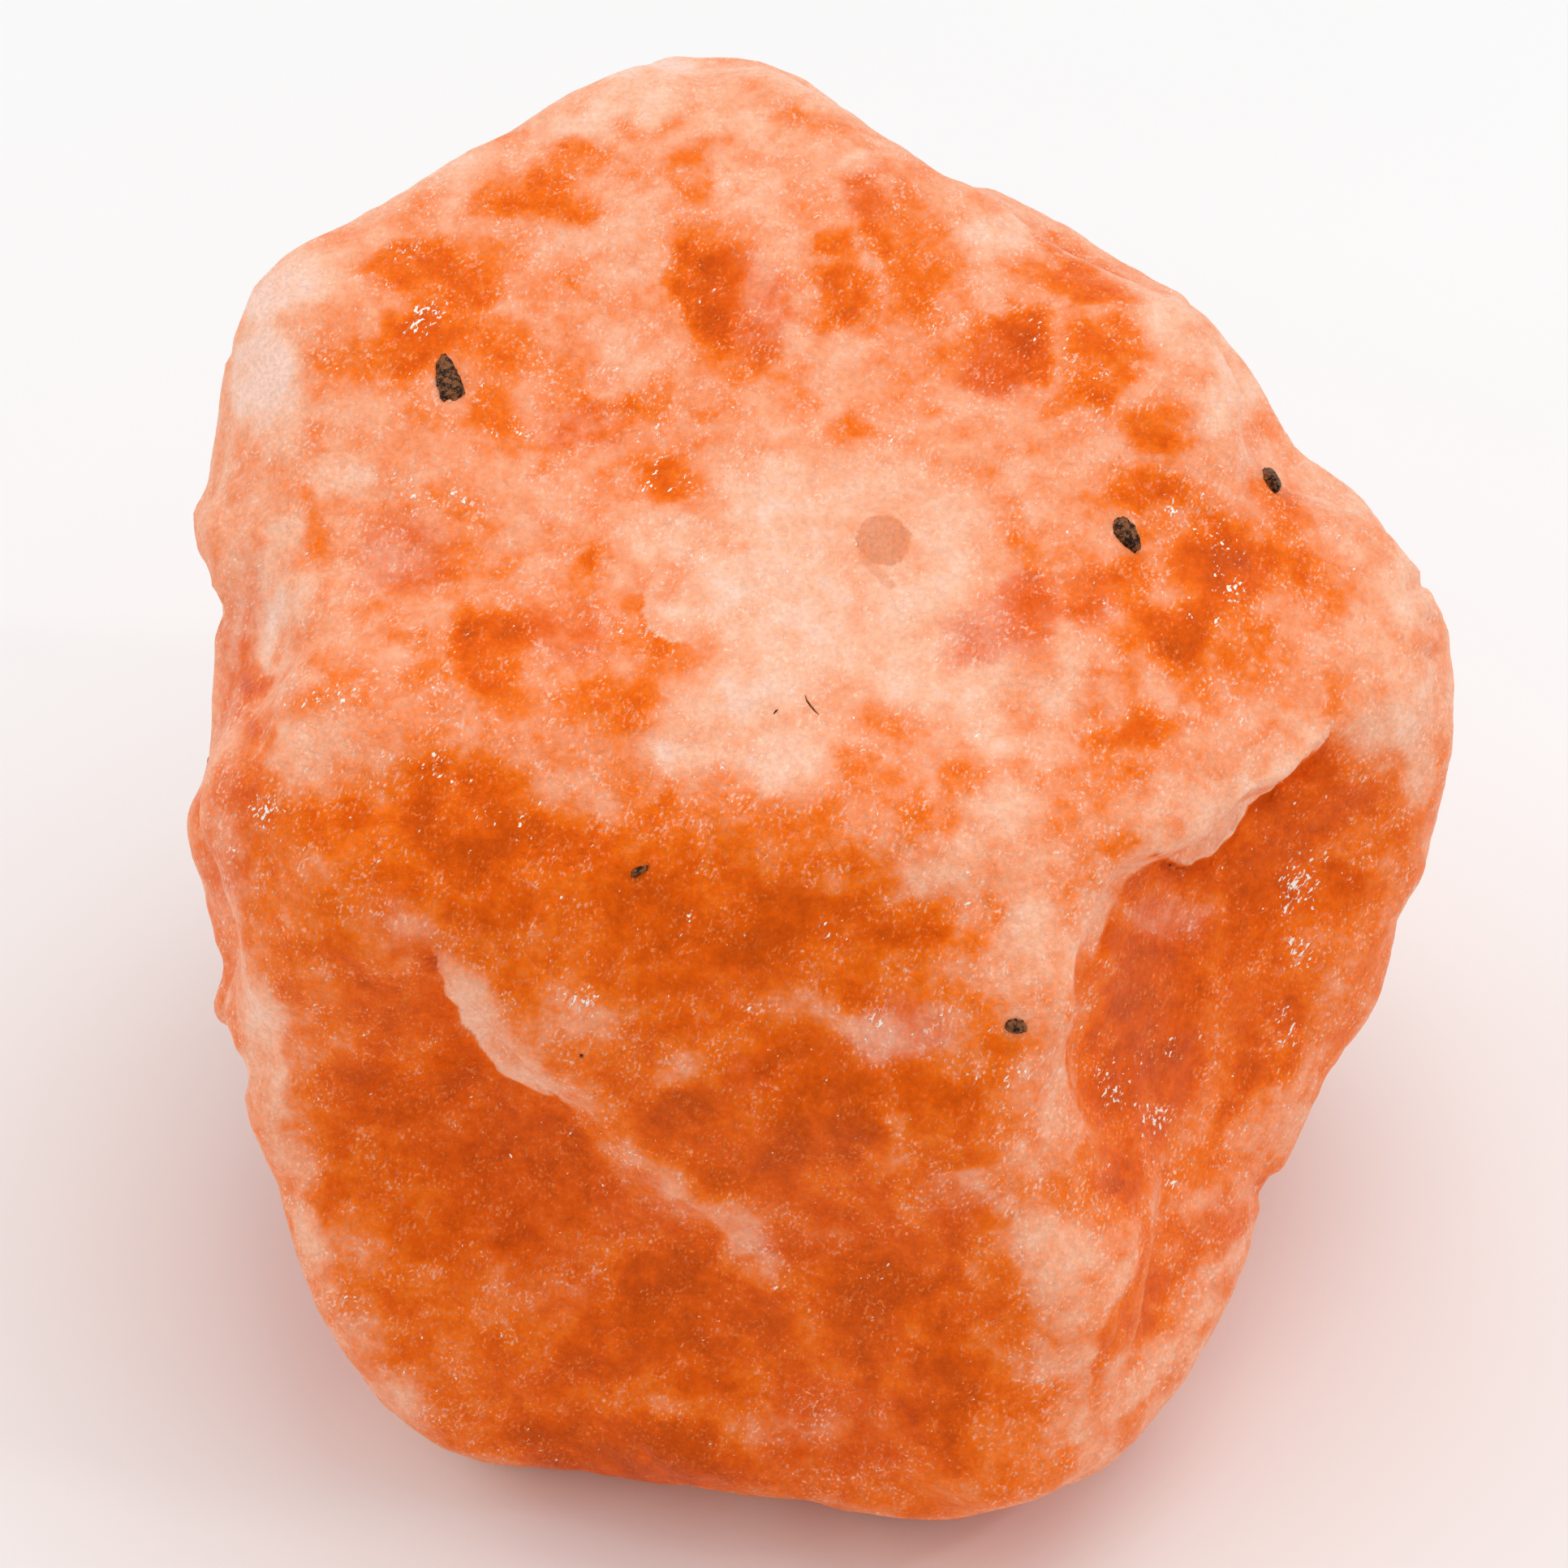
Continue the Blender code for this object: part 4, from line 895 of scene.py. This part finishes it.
def stone_material(tree):
    """Clear orange stone under a frosted, granular skin that is missing in patches."""
    n = Nodes("sunstone")
    drawn = n.drawn_out(n.millimetres())
    cloud = n.noise(drawn, *CLOUD)
    cluster = n.noise(drawn, *CLUSTER)
    grain = n.noise(drawn, *GRAIN)
    fleck = n.noise(drawn, *FLECK)
    streak = n.noise(n.stretch(drawn, STREAK_STRETCH), *STREAK)
    tone = n.layer("tone")
    for texture, amount in zip((cloud, grain, fleck, streak), TONE_CHANGES):
        tone = n.math("ADD", tone, n.math("MULTIPLY", n.math("SUBTRACT", texture, 0.5), amount))
    pink = n.map(n.math("ADD", n.layer("pink"), n.math("SUBTRACT", cloud, 0.5)), 0.1, 0.9)
    surface = n.mix(pink, n.ramp(tone, TONES), n.ramp(tone, PINK_TONES))
    dust = n.map(cluster, 0.4, 0.62, 0.12, 1.0)
    speck = n.noise(n.stretch(drawn, SPECK_STRETCH), *SPECK)
    marks = n.math("MAXIMUM", n.map(speck, 0.54, 0.74, 0.0, 0.6), n.map(streak, 0.56, 0.74, 0.0, 0.4))
    surface = n.mix(n.math("MULTIPLY", marks, dust), surface, n.mix(n.map(tone, 0.6, 0.9), FROST, EMBER))
    surface = n.mix(tan_marks(n, drawn, grain, tree), surface, TAN)
    wet = n.noise(n.stretch(drawn, GLINT_STRETCH), *WET)
    sparkling = n.map(n.math("ADD", n.math("MULTIPLY", n.layer("glint"), 0.4), cluster), 0.5, 0.95)
    glint = n.map(n.math("ADD", wet, n.math("MULTIPLY", sparkling, 0.19)), 0.73, 0.8)
    # Painted shade and light of the fine bumps: the fleck noise makes the colour darker or lighter in tiny spots, and
    # painted glints go on top in near white.
    surface = n.mix(glint, n.dim(surface, n.map(fleck, 0.3, 0.7, 0.88, 1.08)), SPARK)
    height = n.math("ADD", n.math("MULTIPLY", grain, 0.9), n.math("MULTIPLY", fleck, 0.4))
    height = n.math("ADD", height, n.math("MULTIPLY", glint, 0.2))
    n.dress(surface, n.map(tone, 0.3, 0.95, 0.5, 0.3), 0.06, height, 0.6, 0.2)
    return n.material


def tan_marks(n, drawn, grain, tree):
    """How much the tan spot and its rod cover each place."""
    right, up, radius = SPOT_MM
    uneven = n.math("MULTIPLY", n.math("SUBTRACT", grain, 0.5), 0.5)
    away = n.add("ShaderNodeVectorMath", {0: drawn, 1: mark_place(tree, right, up)}, output=1, operation="DISTANCE")
    disc = n.map(n.math("ADD", away, uneven), radius - 0.06, radius + 0.06, 0.65, 0.0)
    (start_right, start_up), (end_right, end_up), half_width = ROD_MM
    start = mark_place(tree, start_right, start_up)
    ahead = Vector(mark_place(tree, end_right, end_up)) - Vector(start)
    length = ahead.length
    ahead.normalize()
    offset = n.add("ShaderNodeVectorMath", {0: drawn, 1: start}, operation="SUBTRACT")
    level = n.add("ShaderNodeVectorMath", {0: offset, 1: tuple(ahead)}, output=1, operation="DOT_PRODUCT")
    held = n.math("MINIMUM", n.math("MAXIMUM", level, 0.0), length)
    on_line = n.add("ShaderNodeVectorMath", {0: tuple(ahead), 3: held}, operation="SCALE")
    away = n.add("ShaderNodeVectorMath", {0: offset, 1: on_line}, output=1, operation="DISTANCE")
    rod = n.map(n.math("ADD", away, uneven), half_width - 0.08, half_width + 0.1, 0.45, 0.0)
    return n.math("MAXIMUM", disc, rod)


def mark_place(tree, right, up):
    """Where a mark that the eye sees there lies, drawn out like the patterns."""
    place, _ = touch(tree, right, up)
    return tuple(drawn_out(place[None])[0])


def grain_material():
    """Dark brown, crumbly and slightly shiny."""
    n = Nodes("dark_grain")
    mm = n.millimetres()
    crumbs = n.noise(mm, 4.5, 3.0, 0.65)
    specks = n.noise(mm, 13.0, 2.0, 0.6)
    shade = n.mix(n.map(crumbs, 0.42, 0.6), colour(38, 18, 8), colour(134, 84, 50))
    shade = n.mix(n.map(specks, 0.56, 0.7, 0.0, 0.5), shade, colour(190, 136, 98))
    n.dress(shade, n.map(crumbs, 0.35, 0.65, 0.35, 0.7), 0.12, crumbs, 0.8, 0.12)
    return n.material


def make_studio():
    """A plain pale floor, even white surroundings, two soft lamps and a small one for the glints."""
    scene = bpy.context.scene
    scene.view_settings.view_transform = "Standard"
    bpy.ops.mesh.primitive_plane_add(size=4, location=(0, 0, 0))
    floor = bpy.context.object
    floor.name = "floor"
    paint_floor = Nodes("pale_floor")
    mottle = paint_floor.noise(paint_floor.add("ShaderNodeTexCoord", {}, output=3), 30.0)
    shade = paint_floor.mix(mottle, *((value, value, value, 1) for value in FLOOR_SHADES))
    paint_floor.fill(paint_floor.surface.inputs["Base Color"], shade)
    paint_floor.surface.inputs["Roughness"].default_value = 0.9
    floor.data.materials.append(paint_floor.material)
    world = bpy.data.worlds.new("surroundings")
    scene.world = world
    world.use_nodes = True
    sky = world.node_tree.nodes["Background"]
    sky.inputs["Color"].default_value = (1, 1, 1, 1)
    sky.inputs["Strength"].default_value = SURROUNDINGS
    for numbers in LAMPS:
        lamp(*numbers)


def lamp(name, place, size, power):
    """A square lamp that points at the stone."""
    data = bpy.data.lights.new(name, "AREA")
    data.size = size
    data.energy = power
    light = bpy.data.objects.new(name, data)
    light.location = place
    light.rotation_mode = "QUATERNION"
    light.rotation_quaternion = (Vector(place) - Vector(LAMP_TARGET)).to_track_quat("Z", "Y")
    bpy.context.scene.collection.objects.link(light)


def make_camera():
    """The camera stands at the eye."""
    right, up, near = axes()
    aim = np.array(MIDDLE_MM) + right * AIM_MM[0] + up * AIM_MM[1]
    data = bpy.data.cameras.new("eye")
    data.sensor_width = SENSOR_MM
    data.lens = SENSOR_MM * EYE_DISTANCE_MM / FRAME_WIDTH_MM
    data.clip_start = 0.01
    data.clip_end = 20
    camera = bpy.data.objects.new("eye", data)
    camera.matrix_world = Matrix(np.column_stack([right, up, near]).tolist()).to_4x4()
    camera.location = (aim + near * EYE_DISTANCE_MM) * MM
    bpy.context.scene.collection.objects.link(camera)
    bpy.context.scene.camera = camera


main()
